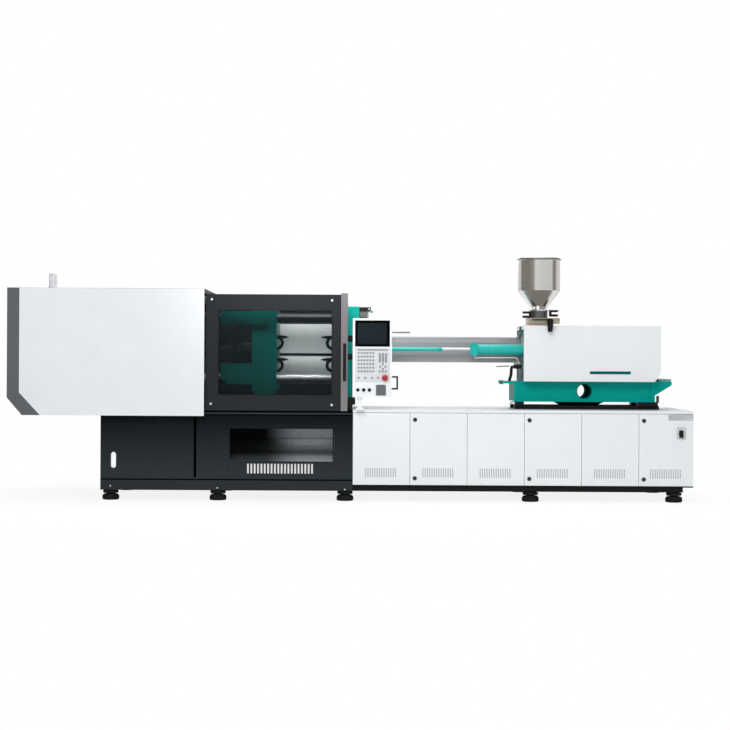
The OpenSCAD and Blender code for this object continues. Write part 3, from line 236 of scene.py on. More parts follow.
white_coat = painted("white powder coat on sheet steel", "#eceeee", "#e2e5e6", 0.42, 9, 0.0006)
grey_coat = painted("light grey powder coat on sheet steel", "#c9cccb", "#bec2c2", 0.45, 9, 0.0006)
end_coat = painted("mid grey powder coat on sheet steel", "#5d6063", "#54575a", 0.45, 9, 0.0006, shine=0.3)
door_coat = painted("anthracite powder coat on sheet steel", "#222528", "#1a1d20", 0.42, 8, 0.0006,
                    shine=0.18)
# The bed panels carry painted shade: darker towards the top, under the door and cover, lighter at the foot.
bed_coat = painted("black powder coat, dusty at the foot", "#090d0f", "#070b0d", 0.46, 8, 0.0008, shine=0.05,
                   shade_ramp=(0.28, 0.92, "#2d3336"))
sill_coat = painted("dark grey powder coat on welded beam", "#2a3134", "#242a2d", 0.46, 8, 0.0008,
                    shine=0.12)
frame_coat = painted("black enamel on welded steel", "#15191b", "#0f1315", 0.42, 14, 0.0010, 350, shine=0.2)
teal_enamel = painted("teal enamel on cast iron", "#02a699", "#01948a", 0.34, 26, 0.0024, 300, shine=0.05)
bright_teal = painted("bright teal enamel on turned steel", "#13b7ae", "#0faaa2", 0.26, 20, 0.0012, 300,
                      shine=0.4)
guard_coat = painted("pale green enamel on sheet steel", "#a9c4b1", "#9cb8a5", 0.42, 9, 0.0006)
hood_coat = painted("grey hammer finish on vent comb", "#7b7e80", "#6f7275", 0.38, 7, 0.0012, 250)
pump_coat = painted("grey enamel on hydraulic gear", "#5f6568", "#53595c", 0.40, 14, 0.0010, 300)
print("painted finishes", len(bpy.data.materials))

# %% [markdown]
# ## Bare metal
# Machined and drawn metal has a direction: rods are ground round and round, sheet is brushed along its
# length. Noise stretched along one axis gives both, and the tone and the roughness follow it together. Real
# grain is far finer than a pixel, so it is drawn at 5 to 10 mm to show.

# %% Ground, brushed and blackened metal
def metal(name, colour, shade, roughness, grain_mm, depth=0.0003):
    material, tree, place = new_material(name)
    turned = add(tree, "Mapping", None, {"Vector": place, "Scale": tuple(1000 / mm for mm in grain_mm)})
    grain = add(tree, "TexNoise", None, {"Vector": turned.outputs[0], "Scale": 1.0, "Detail": 3.0})
    tone = add(tree, "Mix", COLOUR, {0: grain.outputs["Fac"], 6: linear(colour), 7: linear(shade)})
    gloss = add(tree, "MapRange", None,
                {"Value": grain.outputs["Fac"], "To Min": roughness - 0.05, "To Max": roughness + 0.08})
    bump = add(tree, "Bump", None, {"Height": grain.outputs["Fac"], "Strength": 0.25, "Distance": depth})
    skin = add(tree, "BsdfPrincipled", None,
               {"Base Color": tone.outputs[2], "Roughness": gloss.outputs[0], "Metallic": 1.0,
                "Normal": bump.outputs[0]})
    add(tree, "OutputMaterial", None, {"Surface": skin.outputs[0]})
    return material


chrome = metal("hard chrome on ground rod", "#d4d7d8", "#c2c6c8", 0.14, (6, 400, 400))
steel = metal("machined steel", "#a9adaf", "#999da0", 0.30, (9, 9, 160))
black_steel = metal("black oxide on steel", "#6b7073", "#585d60", 0.36, (30, 30, 30))
anodised = metal("anodised aluminium strip", "#8f8b8d", "#848082", 0.34, (7, 7, 500))
print("metal finishes", len(bpy.data.materials))

# %% [markdown]
# ## Plastic and rubber
# Handles, grips, caps and the feet's pads are moulded, most of them dark: a fine spark texture with a soft
# sheen. The real texture is a fraction of a millimetre, so it is drawn at several millimetres to show.

# %% Moulded plastic
def moulded(name, colour, shade, roughness, grain_mm, depth, shine=0.5):
    material, tree, place = new_material(name)
    spark = add(tree, "TexVoronoi", None, {"Vector": place, "Scale": 1000 / grain_mm})
    cloud = add(tree, "TexNoise", None, {"Vector": place, "Scale": 1000 / (20 * grain_mm), "Detail": 3.0})
    tone = add(tree, "Mix", COLOUR, {0: cloud.outputs["Fac"], 6: linear(colour), 7: linear(shade)})
    bump = add(tree, "Bump", None,
               {"Height": spark.outputs["Distance"], "Strength": 0.25, "Distance": depth})
    gloss = add(tree, "MapRange", None,
                {"Value": cloud.outputs["Fac"], "To Min": roughness - 0.06, "To Max": roughness + 0.06})
    skin = add(tree, "BsdfPrincipled", None,
               {"Base Color": tone.outputs[2], "Roughness": gloss.outputs[0], "Normal": bump.outputs[0],
                "Specular IOR Level": shine})
    add(tree, "OutputMaterial", None, {"Surface": skin.outputs[0]})
    return material


black_nylon = moulded("black glass filled nylon", "#141517", "#0d0e10", 0.45, 5, 0.0004, shine=0.2)
black_rubber = moulded("black rubber", "#121314", "#0c0d0e", 0.65, 8, 0.0006, shine=0.2)
flap_abs = moulded("grey ABS flap", "#606366", "#56595c", 0.42, 6, 0.0003)
stop_red = moulded("red polycarbonate knob", "#a3222b", "#8c1b24", 0.30, 6, 0.0002)
print("plastic finishes", len(bpy.data.materials))

# %% [markdown]
# ## One solid, two finishes
# Some solids carry two finishes with a sharp border: a rod that is painted for half its length, a teal
# housing with a white head. The border is a plane, so the shader compares one Object coordinate with a
# number and swaps colour, metal and roughness there. Where a solid carries three, a second plane parts off
# the third. A finish is written as two tones that the grain mixes, how metallic it is and how rough.

# %% Finish that changes at a plane
def two_part(name, axis, at, before, after, grain_mm, depth=0.0004, middle=None, shine=0.5, beyond=None):
    material, tree, place = new_material(name)
    apart = add(tree, "SeparateXYZ", None, {0: place})
    along = apart.outputs[axis]
    if middle is not None:
        shifted = add(tree, "Math", {"operation": "SUBTRACT"}, {0: along, 1: middle})
        along = add(tree, "Math", {"operation": "ABSOLUTE"}, {0: shifted.outputs[0]}).outputs[0]
    turned = add(tree, "Mapping", None, {"Vector": place, "Scale": tuple(1000 / mm for mm in grain_mm)})
    grain = add(tree, "TexNoise", None, {"Vector": turned.outputs[0], "Scale": 1.0, "Detail": 3.0})
    layers = [(None, 0.0, before), (along, at, after)]
    if beyond:
        layers.append((apart.outputs[beyond[0]], *beyond[1:]))
    for coordinate, border, (light, dark, metallic, rough) in layers:
        mottled = add(tree, "Mix", COLOUR,
                      {0: grain.outputs["Fac"], 6: linear(light), 7: linear(dark)}).outputs[2]
        if coordinate is None:
            tone, bare, gloss = mottled, metallic, rough - 0.03
            continue
        there = add(tree, "Math", {"operation": "GREATER_THAN"}, {0: coordinate, 1: border}).outputs[0]
        tone = add(tree, "Mix", COLOUR, {0: there, 6: tone, 7: mottled}).outputs[2]
        gloss = add(tree, "Mix", None, {0: there, 2: gloss, 3: rough - 0.03}).outputs[0]
        if metallic != bare:
            bare = add(tree, "Mix", None, {0: there, 2: bare, 3: metallic}).outputs[0]
    worn = add(tree, "Math", {"operation": "MULTIPLY_ADD"}, {0: grain.outputs["Fac"], 1: 0.06, 2: gloss})
    bump = add(tree, "Bump", None, {"Height": grain.outputs["Fac"], "Strength": 0.25, "Distance": depth})
    skin = add(tree, "BsdfPrincipled", None,
               {"Base Color": tone, "Metallic": bare, "Roughness": worn.outputs[0],
                "Normal": bump.outputs[0], "Specular IOR Level": shine})
    add(tree, "OutputMaterial", None, {"Surface": skin.outputs[0]})
    return material


TEAL = ("#2fbfb4", "#26b2a8", 0.0, 0.30)
CHROME = ("#d4d7d8", "#c2c6c8", 1.0, 0.14)
ROD_BORDER = 0.953
rod_finish = two_part("teal tube and chromed rod", 0, ROD_BORDER, TEAL, CHROME, (40, 40, 40))
print(rod_finish.name)

# %% The other finishes with a border
PLATEN = ("#02a699", "#01948a", 0.0, 0.36)
BLACK = ("#141517", "#0d0e10", 0.0, 0.45)
WHITE = ("#eceeee", "#e2e5e6", 0.0, 0.42)
COVER_WHITE = ("#e3e5e6", "#d9dbdd", 0.0, 0.48)
PLATE_WHITE = ("#eceeee", "#e4e6e7", 0.0, 0.45)
HAMMER = ("#9c9fa2", "#8e9194", 0.0, 0.38)
HAMMER_TOP_SHADE = ("#7b7e80", "#6f7275", 0.0, 0.42)
# Near-black painted shade for the cover's underside and inside.
COVER_SHADE = ("#1d1f20", "#151718", 0.0, 0.80)
BRONZE = ("#c9bca8", "#a89b8a", 0.7, 0.40)
DARK_GREY = ("#6f7173", "#5b5d60", 0.6, 0.40)
STEEL = ("#a9adaf", "#999da0", 1.0, 0.30)
STAINLESS = ("#e2e0dd", "#cfcdca", 1.0, 0.21)
ROLLED_RIM = ("#8f8e8c", "#80807e", 1.0, 0.32)
UPPER_BAR_SHADE = ("#46494b", "#3b3f41", 1.0, 0.34)
GROUND = ("#d8dbdc", "#c6cacc", 1.0, 0.36)
PLATE_TOP_SHADE = ("#b9bdbd", "#adb1b2", 0.0, 0.50)
RAIL_SHADE = ("#060606", "#040404", 0.0, 0.90)
BLACK_OXIDE = ("#1a1c1e", "#121416", 0.0, 0.45)

EAR_X, NUT_X = 0.0850, 0.084
HEAD_Z, BAR_Z, RAIL_Z, BEAM_Z, UNDERSIDE_Z, GATE_Z = 1.730, 1.60, 1.50, 0.90, 2.2195, 1.9475
SIDE_HALF, MIDDLE_Y, CAP_Y = 0.7985, 0.0325, -0.7935
platen_finish = two_part("teal platen and black hinge ears", 0, EAR_X, PLATEN, BLACK_OXIDE, (26, 26, 26),
                         0.0012, shine=0.2)
housing_finish = two_part("teal housing with a white head", 2, HEAD_Z, PLATEN, WHITE, (26, 26, 26), 0.0012,
                          shine=0.1)
# The upper tie bars get a dark, duller metal as painted shade under the door's top rail.
nut_finish = two_part("chromed and oiled tie bars with black nuts", 2, BAR_Z, GROUND, UPPER_BAR_SHADE, (6, 400, 400),
                      beyond=(0, NUT_X, BLACK_OXIDE))
# The guide bar's black is deepened and has no sheen, partly its own black paint and partly painted shade
# under the door.
rail_finish = two_part("black guide bar deepened as painted shade, and steel rail", 2, RAIL_Z, RAIL_SHADE, STEEL, (160, 9, 9), shine=0.0)
# The plate's top face is painted a light grey shade.
cabinet_finish = two_part("black base beam and white top plate", 2, BEAM_Z, BLACK, PLATE_WHITE, (60, 60, 60),
                          shine=0.12, beyond=(2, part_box("injection_frame")[1].z - 0.001, PLATE_TOP_SHADE))
# The cover's underside and inner faces are painted near black as shade.
top_finish = two_part("white cover top with painted shade below", 2, UNDERSIDE_Z, COVER_SHADE, WHITE, (300, 300, 300))
side_finish = two_part("white cover side with painted shade inside", 1, SIDE_HALF, COVER_SHADE, COVER_WHITE,
                       (300, 300, 300), middle=MIDDLE_Y)
# The top band of the cover is darker than its face: painted shade against the lamp light on the chamfer.
hood_finish = two_part("grey hammer finish on sheet steel", 2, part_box("barrel_cover")[1].z - 0.045,
                       HAMMER, HAMMER_TOP_SHADE, (7, 7, 7), 0.0012)
hopper_finish = two_part("brushed stainless sheet with a rolled rim", 2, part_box("hopper")[1].z - 0.022,
                         STAINLESS, ROLLED_RIM, (420, 420, 7), 0.0003)
base_finish = two_part("bronze gate housing and grey seat", 2, GATE_Z, BRONZE, DARK_GREY, (30, 30, 30))
panel_finish = two_part("white housing and black caps", 1, CAP_Y, BLACK, WHITE, (200, 200, 200))
print("split finishes", len(bpy.data.materials))

# %% [markdown]
# ## Cabinet leaves
# A leaf is one pressed sheet: white on its face, black where the locks stand proud, and pale lilac grey
# on the floor of the vent grooves as painted shade. Depth tells the three apart, so the shader reads
# the Object coordinate that points into the cabinet.

# %% White leaf with black locks and painted shade in the grooves
LEAF_FACE = FRONT_Y
# The groove floors are painted a pale lilac grey shade.
leaf_finish = painted("white powder coat on pressed door leaf", "#eceeee", "#e2e5e6", 0.42, 9, 0.0006,
                      over=(("COMPARE", 1, LEAF_FACE + 0.0012, 0.0004, "#b3b1bd"),
                            ("LESS_THAN", 1, LEAF_FACE - 0.001, 0.0, "#1b1c1e")))
print(leaf_finish.name)

# %% [markdown]
# ## Tray below the mould
# Galvanised sheet shows a bloom of zinc crystals some centimetres across. The left end carries painted
# shade, deeper towards the top, so the shader fades from painted shade to zinc along X and deepens it with
# Z.

# %% Tray and lip with painted shade at the left end
SHADE_X, SHADE_Z, BLOOM_MM = (-0.92, -0.50), (0.40, 0.62), 40


def shaded_sheet(name, light, dark, light_shade, deep_shade, shine):
    finish, tree, place = new_material(name)
    apart = add(tree, "SeparateXYZ", None, {0: place})
    shade_fade = add(tree, "MapRange", {"interpolation_type": "SMOOTHSTEP"},
                {"Value": apart.outputs[0], "From Min": SHADE_X[0], "From Max": SHADE_X[1]})
    deeper = add(tree, "MapRange", None,
                {"Value": apart.outputs[2], "From Min": SHADE_Z[0], "From Max": SHADE_Z[1]})
    bloom = add(tree, "TexVoronoi", None, {"Vector": place, "Scale": 1000 / BLOOM_MM})
    zinc_tone = add(tree, "Mix", COLOUR, {0: bloom.outputs["Distance"], 6: linear(light), 7: linear(dark)})
    shade_tone = add(tree, "Mix", COLOUR, {0: deeper.outputs[0], 6: linear(light_shade), 7: linear(deep_shade)})
    tone = add(tree, "Mix", COLOUR, {0: shade_fade.outputs[0], 6: shade_tone.outputs[2], 7: zinc_tone.outputs[2]})
    skin = add(tree, "BsdfPrincipled", None,
               {"Base Color": tone.outputs[2], "Roughness": 0.5, "Specular IOR Level": shine})
    add(tree, "OutputMaterial", None, {"Surface": skin.outputs[0]})
    return finish


# Both sheets carry painted shade at their left end, deeper towards the top.
tray_finish = shaded_sheet("galvanised tray with painted shade at the left end", "#a6a8ab", "#8f9295", "#3f4245", "#141618",
                         0.15)
lip_finish = shaded_sheet("dull galvanised lip with painted shade at the left end", "#666a6e", "#5b5e62", "#060708", "#040505",
                        0.0)
print(tray_finish.name)

# %% [markdown]
# ## Window, screen, keypad and lamp
# The window is smoked polycarbonate: it dims what is behind it and mirrors a little of the room. The
# screen is dark glass in a bezel, with fields of faint colour as an idle display shows. The keypad is
# printed foil. The lamp's two caps are milky, one a little warm.

# %% Smoked window
HAZE_MM, POLYCARBONATE_IOR = 350, 1.58
window_finish, tree, place = new_material("smoked polycarbonate sheet")
haze = add(tree, "TexNoise", None, {"Vector": place, "Scale": 1000 / HAZE_MM, "Detail": 3.0})
gloss = add(tree, "MapRange", None, {"Value": haze.outputs["Fac"], "To Min": 0.03, "To Max": 0.10})
clear = add(tree, "MapRange", None, {"Value": haze.outputs["Fac"], "To Min": 0.44, "To Max": 0.50})
skin = add(tree, "BsdfPrincipled", None,
           {"Base Color": linear("#0a151a"), "Roughness": gloss.outputs[0], "Alpha": clear.outputs[0],
            "IOR": POLYCARBONATE_IOR, "Specular IOR Level": 0.12})
add(tree, "OutputMaterial", None, {"Surface": skin.outputs[0]})
print(window_finish.name)

# %% Screen with fields of faint colour
screen_low, screen_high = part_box("panel_screen")
screen_finish, tree, place = new_material("dark screen glass in a bezel")
centred = add(tree, "Mapping", {"vector_type": "TEXTURE"},
              {"Vector": place, "Location": (screen_low.x, 0, screen_low.z),
               "Scale": (screen_high.x - screen_low.x, 1.0, screen_high.z - screen_low.z)})
apart = add(tree, "SeparateXYZ", None, {0: centred.outputs[0]})
turned = add(tree, "CombineXYZ", None, {0: apart.outputs[0], 1: apart.outputs[2]})
fields = add(tree, "TexBrick", {"offset": 0.0, "squash": 1.0},
             {"Vector": turned.outputs[0], "Scale": 1.0, "Brick Width": 0.24, "Row Height": 0.13,
              "Mortar Size": 0.004, "Bias": 0.0, "Color1": linear("#1d252a"), "Color2": linear("#1b2328"),
              "Mortar": linear("#20282d")})
depth = add(tree, "SeparateXYZ", None, {0: place}).outputs[1]
deep = add(tree, "Math", {"operation": "GREATER_THAN"}, {0: depth, 1: screen_low.y + 0.0015})
tone = add(tree, "Mix", COLOUR, {0: deep.outputs[0], 6: linear("#010202"), 7: fields.outputs["Color"]})
gloss = add(tree, "MapRange", None, {"Value": deep.outputs[0], "To Min": 0.42, "To Max": 0.12})
skin = add(tree, "BsdfPrincipled", None,
           {"Base Color": tone.outputs[2], "Roughness": gloss.outputs[0], "Specular IOR Level": 0.03})
add(tree, "OutputMaterial", None, {"Surface": skin.outputs[0]})
print("screen", round(screen_high.x - screen_low.x, 3), "m wide")

# %% Milky signal lamp
RIB_MM = 6
lamp_low, lamp_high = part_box("signal_lamp")
lamp_finish, tree, place = new_material("milky polycarbonate lamp caps")
apart = add(tree, "SeparateXYZ", None, {0: place})
warm = add(tree, "Math", {"operation": "GREATER_THAN"},
           {0: apart.outputs[2], 1: (lamp_low.z + lamp_high.z) / 2})
ribs = add(tree, "TexWave", {"wave_type": "BANDS", "bands_direction": "Z"},
           {"Vector": place, "Scale": 1000 / (2 * math.pi * RIB_MM)})
tone = add(tree, "Mix", COLOUR, {0: warm.outputs[0], 6: linear("#dcdde0"), 7: linear("#e2dbdb")})
bump = add(tree, "Bump", None, {"Height": ribs.outputs["Fac"], "Strength": 0.4, "Distance": 0.003})
skin = add(tree, "BsdfPrincipled", None,
           {"Base Color": tone.outputs[2], "Roughness": 0.22, "Transmission Weight": 0.35,
            "Normal": bump.outputs[0], "IOR": POLYCARBONATE_IOR})
add(tree, "OutputMaterial", None, {"Surface": skin.outputs[0]})
print("lamp", round(lamp_high.z - lamp_low.z, 3), "m high")

# %% Keypad foil
pad_low, pad_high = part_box("keypad")
KEYS = ("#8b8d93", "#808288", 0.0, 0.40)
FOIL = ("#d4d5d8", "#cbccd0", 0.0, 0.45)
keypad_finish = two_part("printed keypad foil", 1, pad_low.y + 0.0033, KEYS, FOIL, (60, 60, 60), 0.0002)
print("keypad", [round(v, 4) for v in (pad_low.y, pad_high.y)])

# %% [markdown]
# ## Dress the solids
# Every solid keeps its shape and only changes the material in its slot.

# %% Finish for each solid
dress = {
    side_finish: "cover_sides",
    top_finish: "cover_top",
    base_finish: "hopper_base",
    white_coat: "cabinet_panels injection_cover panel_arm",
    end_coat: "cover_end",
    door_coat: "door_frame rear_door",
    bed_coat: "bed_panels",
    sill_coat: "clamp_bed",
    frame_coat: "base_rails carriage_base",
    teal_enamel: "tail_platen moving_platen carriage",
    housing_finish: "injection_housing",
    bright_teal: "seat_cylinders",
    platen_finish: "fixed_platen",
    guard_coat: "purge_guard",
    hood_finish: "barrel_cover",
    pump_coat: "hydraulic_unit clamp_cylinder ejector_cylinder drive_unit",
    chrome: "ejector_rod",
    rail_finish: "door_rails",
    steel: "barrel screw",
    black_steel: "crosshead rear_link_upper rear_link_lower front_link_upper front_link_lower "
                 "cross_link_upper cross_link_lower",
    hopper_finish: "hopper",
    anodised: "door_edge",
    tray_finish: "chute_tray",
    black_nylon: "hopper_gate door_handle panel_handle main_switch",
    black_rubber: "leveling_feet",
    flap_abs: "socket_flap",
    stop_red: "emergency_stop",
    rod_finish: "seat_rods",
    nut_finish: "tie_bars",
    cabinet_finish: "injection_frame",
    leaf_finish: " ".join("cabinet_door_%d" % number for number in range(1, 7)),
    panel_finish: "control_panel",
    window_finish: "door_window",
    screen_finish: "panel_screen",
    keypad_finish: "keypad",
    lamp_finish: "signal_lamp",
}
dressed = set()
for finish, names in dress.items():
    for name in names.split():
        for slot in nodes[name].material_slots:
            slot.material = finish
        dressed.add(name)
print("dressed", len(dressed), "bare", sorted(set(nodes) - dressed))

# %% [markdown]
# ## Modelling by hand, in code
# A new piece starts as a primitive at its size and place and is shaped in edit mode. Operators act on all
# that is selected, so each step first says which faces it means, by their place or their normal. Many
# pieces have a rim round a sunk or raised field, which is an inset face pulled along an axis. When a
# piece is finished its place goes into its mesh, its edges are broken with a small bevel, and it is told
# which body of the machine it rides on.

# %% Helpers to start and shape a piece
def start(add_primitive, **how):
    bpy.ops.object.select_all(action="DESELECT")
    add_primitive(**how)
    bpy.ops.object.transform_apply(location=True, rotation=True, scale=True)
    return bpy.context.object


def choose(piece, test):
    bpy.ops.object.mode_set(mode="EDIT")
    bpy.ops.mesh.select_mode(type="FACE")
    bpy.ops.mesh.select_all(action="DESELECT")
    bpy.ops.object.mode_set(mode="OBJECT")
    for face in piece.data.polygons:
        face.select = test(face.center, face.normal)
    bpy.ops.object.mode_set(mode="EDIT")


def everything(centre, normal):
    return True


def facing(x, y, z):
    return lambda centre, normal: normal.dot(Vector((x, y, z))) > 0.9


def pull(x, y, z):
    bpy.ops.mesh.extrude_region_move(TRANSFORM_OT_translate={"value": (x, y, z)})


def rimmed(piece, test, rim, shift):
    choose(piece, test)
    bpy.ops.mesh.inset(thickness=rim)
    pull(*shift)


FRONT, TOP, LEFT = facing(0, -1, 0), facing(0, 0, 1), facing(-1, 0, 0)
print("faces can be chosen by test")

# %% Helpers to finish, copy and measure a piece
def settle(piece, name, finish, body, bevel=0.0, segments=2):
    if bpy.context.mode != "OBJECT":
        bpy.ops.object.mode_set(mode="OBJECT")
    piece.name = piece.data.name = name
    if bevel:
        edge = piece.modifiers.new("broken edges", "BEVEL")
        edge.width, edge.segments, edge.limit_method = bevel, segments, "ANGLE"
        bpy.ops.object.modifier_apply(modifier=edge.name)
    bpy.ops.object.shade_smooth_by_angle(angle=math.radians(35))
    piece.data.materials.clear()
    piece.data.materials.append(finish)
    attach(piece, body)
    return piece


def copy_to(piece, name, shift, body):
    twin = piece.copy()
    twin.data = piece.data.copy()
    twin.name = twin.data.name = name
    twin.data.transform(Matrix.Translation(shift))
    scene.collection.objects.link(twin)
    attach(twin, body)
    return twin


def size_of(piece):
    return [round(v, 3) for v in piece.dimensions]


print("door window", size_of(nodes["door_window"]))

# %% [markdown]
# ## Window gasket
# A rubber profile holds the pane in the door. It is a flat ring: a plane of the outer size, inset by the
# profile's width, with the middle taken out and the ring pulled forward.

# %% Gasket round the window
FACING = (math.radians(90), 0, 0)
DOOR_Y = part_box("door_frame")[0].y
WINDOW_X, WINDOW_Z = (-1.390, -0.205), (1.113, 1.995)
RUBBER_W, RUBBER_T = 0.008, 0.003
middle = (sum(WINDOW_X) / 2, DOOR_Y, sum(WINDOW_Z) / 2)
gasket = start(bpy.ops.mesh.primitive_plane_add, size=1, location=middle, rotation=FACING)
outer = [high - low + 2 * RUBBER_W for low, high in (WINDOW_X, WINDOW_Z)]
bpy.ops.transform.resize(value=(outer[0], 1, outer[1]), center_override=middle)
bpy.ops.object.transform_apply(location=True, rotation=True, scale=True)
choose(gasket, everything)
bpy.ops.mesh.inset(thickness=RUBBER_W * 1.3)
bpy.ops.mesh.delete(type="FACE")
bpy.ops.mesh.select_all(action="SELECT")
pull(0, -RUBBER_T, 0)
bpy.ops.mesh.select_all(action="SELECT")
bpy.ops.mesh.normals_make_consistent(inside=False)
settle(gasket, "window_gasket", black_rubber, "front_door", bevel=0.001)
print("gasket", size_of(gasket))

# %% [markdown]
# ## Screws
# The door sheet hangs on four bright button screws near its corners. One screw is a short cylinder: its
# front face is inset and pushed back for the socket, the rim is rounded, and the rest are copies. Three
# smaller copies are the bolts in the sill.

# %% Door screws and sill bolts
zinc = metal("zinc plated steel", "#e4e6e6", "#d4d7d8", 0.30, (12, 12, 12))
DOOR_SCREWS = [(-1.464, 2.110), (-0.202, 2.105), (-1.470, 1.015), (-0.202, 1.008)]
SILL_BOLTS = [(-2.522, 0.147), (-1.399, 0.131), (-0.060, 0.121)]
SCREW_R, SCREW_T, BOLT_SCALE = 0.0125, 0.008, 0.65
first_x, first_z = DOOR_SCREWS[0]
screw = start(bpy.ops.mesh.primitive_cylinder_add, vertices=28, radius=SCREW_R, depth=SCREW_T,
              location=(first_x, DOOR_Y - SCREW_T / 2, first_z), rotation=FACING)
rimmed(screw, FRONT, 0.006, (0, 0.003, 0))
settle(screw, "door_screw_1", zinc, "front_door", bevel=0.002)
for number, (x, z) in enumerate(DOOR_SCREWS[1:], 2):
    copy_to(screw, "door_screw_%d" % number, (x - first_x, 0, z - first_z), "front_door")
for number, (x, z) in enumerate(SILL_BOLTS, 1):
    bolt = copy_to(screw, "sill_bolt_%d" % number, (-first_x, -DOOR_Y, -first_z), "machine_base")
    bolt.data.transform(Matrix.Translation((x, LEAF_FACE, z)) @ Matrix.Scale(BOLT_SCALE, 4))
print("screws", len(DOOR_SCREWS) + len(SILL_BOLTS))

# %% [markdown]
# ## Mould clamps
# Black hooks hold the mould on each platen: a half ring of bar with a pointed finger on top. The ring is
# a small square spun half way round, and the finger is pulled out of a box and brought to a point.

# %% One hook, then three more
MOVING_FACE, FIXED_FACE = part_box("moving_platen")[1].x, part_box("fixed_platen")[0].x
ALONG_X = (0, math.radians(90), 0)
CLAMP_Y, RING_R, BAR = -0.2675, 0.062, 0.034
RING_X, FINGER_X = MOVING_FACE - 0.004, MOVING_FACE + 0.032
HOOK_Z = (1.660, 1.420)


def mirrored(piece, shift):
    piece.data.transform(Matrix.Translation(shift) @ Matrix.Diagonal((-1, 1, 1, 1)))
    piece.data.flip_normals()


def hook(z):
    ring = start(bpy.ops.mesh.primitive_plane_add, size=BAR, rotation=ALONG_X,
                 location=(RING_X, CLAMP_Y, z + RING_R))
    choose(ring, everything)
    bpy.ops.mesh.spin(steps=18, angle=-math.pi, center=(RING_X, CLAMP_Y, z), axis=(0, 1, 0))
    bpy.ops.mesh.select_all(action="SELECT")
    bpy.ops.mesh.normals_make_consistent(inside=False)
    bpy.ops.object.mode_set(mode="OBJECT")
    finger = start(bpy.ops.mesh.primitive_cube_add, size=1, scale=(0.070, 0.036, 0.036),
                   location=(FINGER_X, CLAMP_Y, z + RING_R))
    choose(finger, facing(1, 0, 0))
    pull(0.058, 0, 0)
    bpy.ops.transform.resize(value=(1, 0.5, 0.22))
    bpy.ops.object.mode_set(mode="OBJECT")
    ring.select_set(True)
    bpy.context.view_layer.objects.active = ring
    finger.select_set(True)
    bpy.ops.object.join()
    return ring


for number, z in enumerate(HOOK_Z, 1):
    clamp = hook(z)
    settle(clamp, "moving_clamp_%d" % number, black_nylon, "moving_platen", bevel=0.004)
    twin = copy_to(clamp, "fixed_clamp_%d" % number, (0, 0, 0), "machine_base")
    mirrored(twin, (MOVING_FACE + FIXED_FACE, 0, 0))
    print(clamp.name, size_of(clamp))

# %% [markdown]
# ## Panels inside the rear door
# Through the window the far door shows two light pressed panels with a dark seam between them. Each is a
# flat box whose front is inset twice, once for the flange and once for the raised field. A box is given by
# its three spans, from low to high along X, Y and Z.

# %% Two pressed panels
panel_coat = painted("light grey powder coat on pressed panel", "#eef0f0", "#e4e7e7", 0.42, 9, 0.0006)
REAR_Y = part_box("rear_door")[0].y
REAR_X, REAR_Z, REAR_T = (-0.818, -0.12), [(1.552, 1.925), (1.290, 1.520)], 0.003
FLANGE, STEP = 0.020, 0.006


def slab(*spans):
    return start(bpy.ops.mesh.primitive_cube_add, size=1, location=[(low + high) / 2 for low, high in spans],
                 scale=[high - low for low, high in spans])


for number, span_z in enumerate(REAR_Z, 1):
    sheet = slab(REAR_X, (REAR_Y - REAR_T, REAR_Y), span_z)
    choose(sheet, FRONT)
    bpy.ops.mesh.inset(thickness=FLANGE)
    bpy.ops.mesh.inset(thickness=STEP)
    pull(0, -REAR_T, 0)
    settle(sheet, "rear_panel_%d" % number, panel_coat, "rear_door", bevel=0.001)
print("rear panels", len(REAR_Z))

# %% [markdown]
# ## Bare plate and switch surround
# The last cabinet leaf carries a blank aluminium plate at its top and a pale frame round the main switch.
# The frame is a flat box with both faces opened by an inset, and the two holes joined by a bridge.

# %% Plate and frame on the last leaf
PLATE_X, PLATE_Z, PLATE_T = (3.334, 3.594), (0.862, 0.926), 0.002
SWITCH_X, SWITCH_Z, SWITCH_T, SWITCH_RIM = (3.424, 3.517), (0.667, 0.790), 0.004, 0.010
plate = slab(PLATE_X, (LEAF_FACE - PLATE_T, LEAF_FACE), PLATE_Z)
rimmed(plate, FRONT, 0.007, (0, 0.0008, 0))
blank = metal("brushed aluminium plate", "#c9cbcc", "#b9bcbe", 0.36, (300, 300, 5))
settle(plate, "blank_plate", blank, "cabinet_door_6", bevel=0.0006)
surround = slab(SWITCH_X, (LEAF_FACE - SWITCH_T, LEAF_FACE), SWITCH_Z)
for side in (FRONT, facing(0, 1, 0)):
    choose(surround, side)
    bpy.ops.mesh.inset(thickness=SWITCH_RIM)
    bpy.ops.mesh.delete(type="FACE")
choose(surround, lambda centre, normal: False)
bpy.ops.mesh.select_mode(type="EDGE")
bpy.ops.mesh.select_non_manifold()
bpy.ops.mesh.bridge_edge_loops()
settle(surround, "switch_surround", grey_coat, "cabinet_door_6", bevel=0.001)
print("plate", size_of(plate))

# %% [markdown]
# ## Oil pipes on the seat cylinder
# A thin steel pipe feeds the cylinder from below, with a nut at its front end and a bend down to a valve at
# its rear. The valve stands on a post, and a black hose leads down from it. A pipe is a line with rounded
# corners that gets a round section, and is then made a mesh, so that it is as solid as the rest.

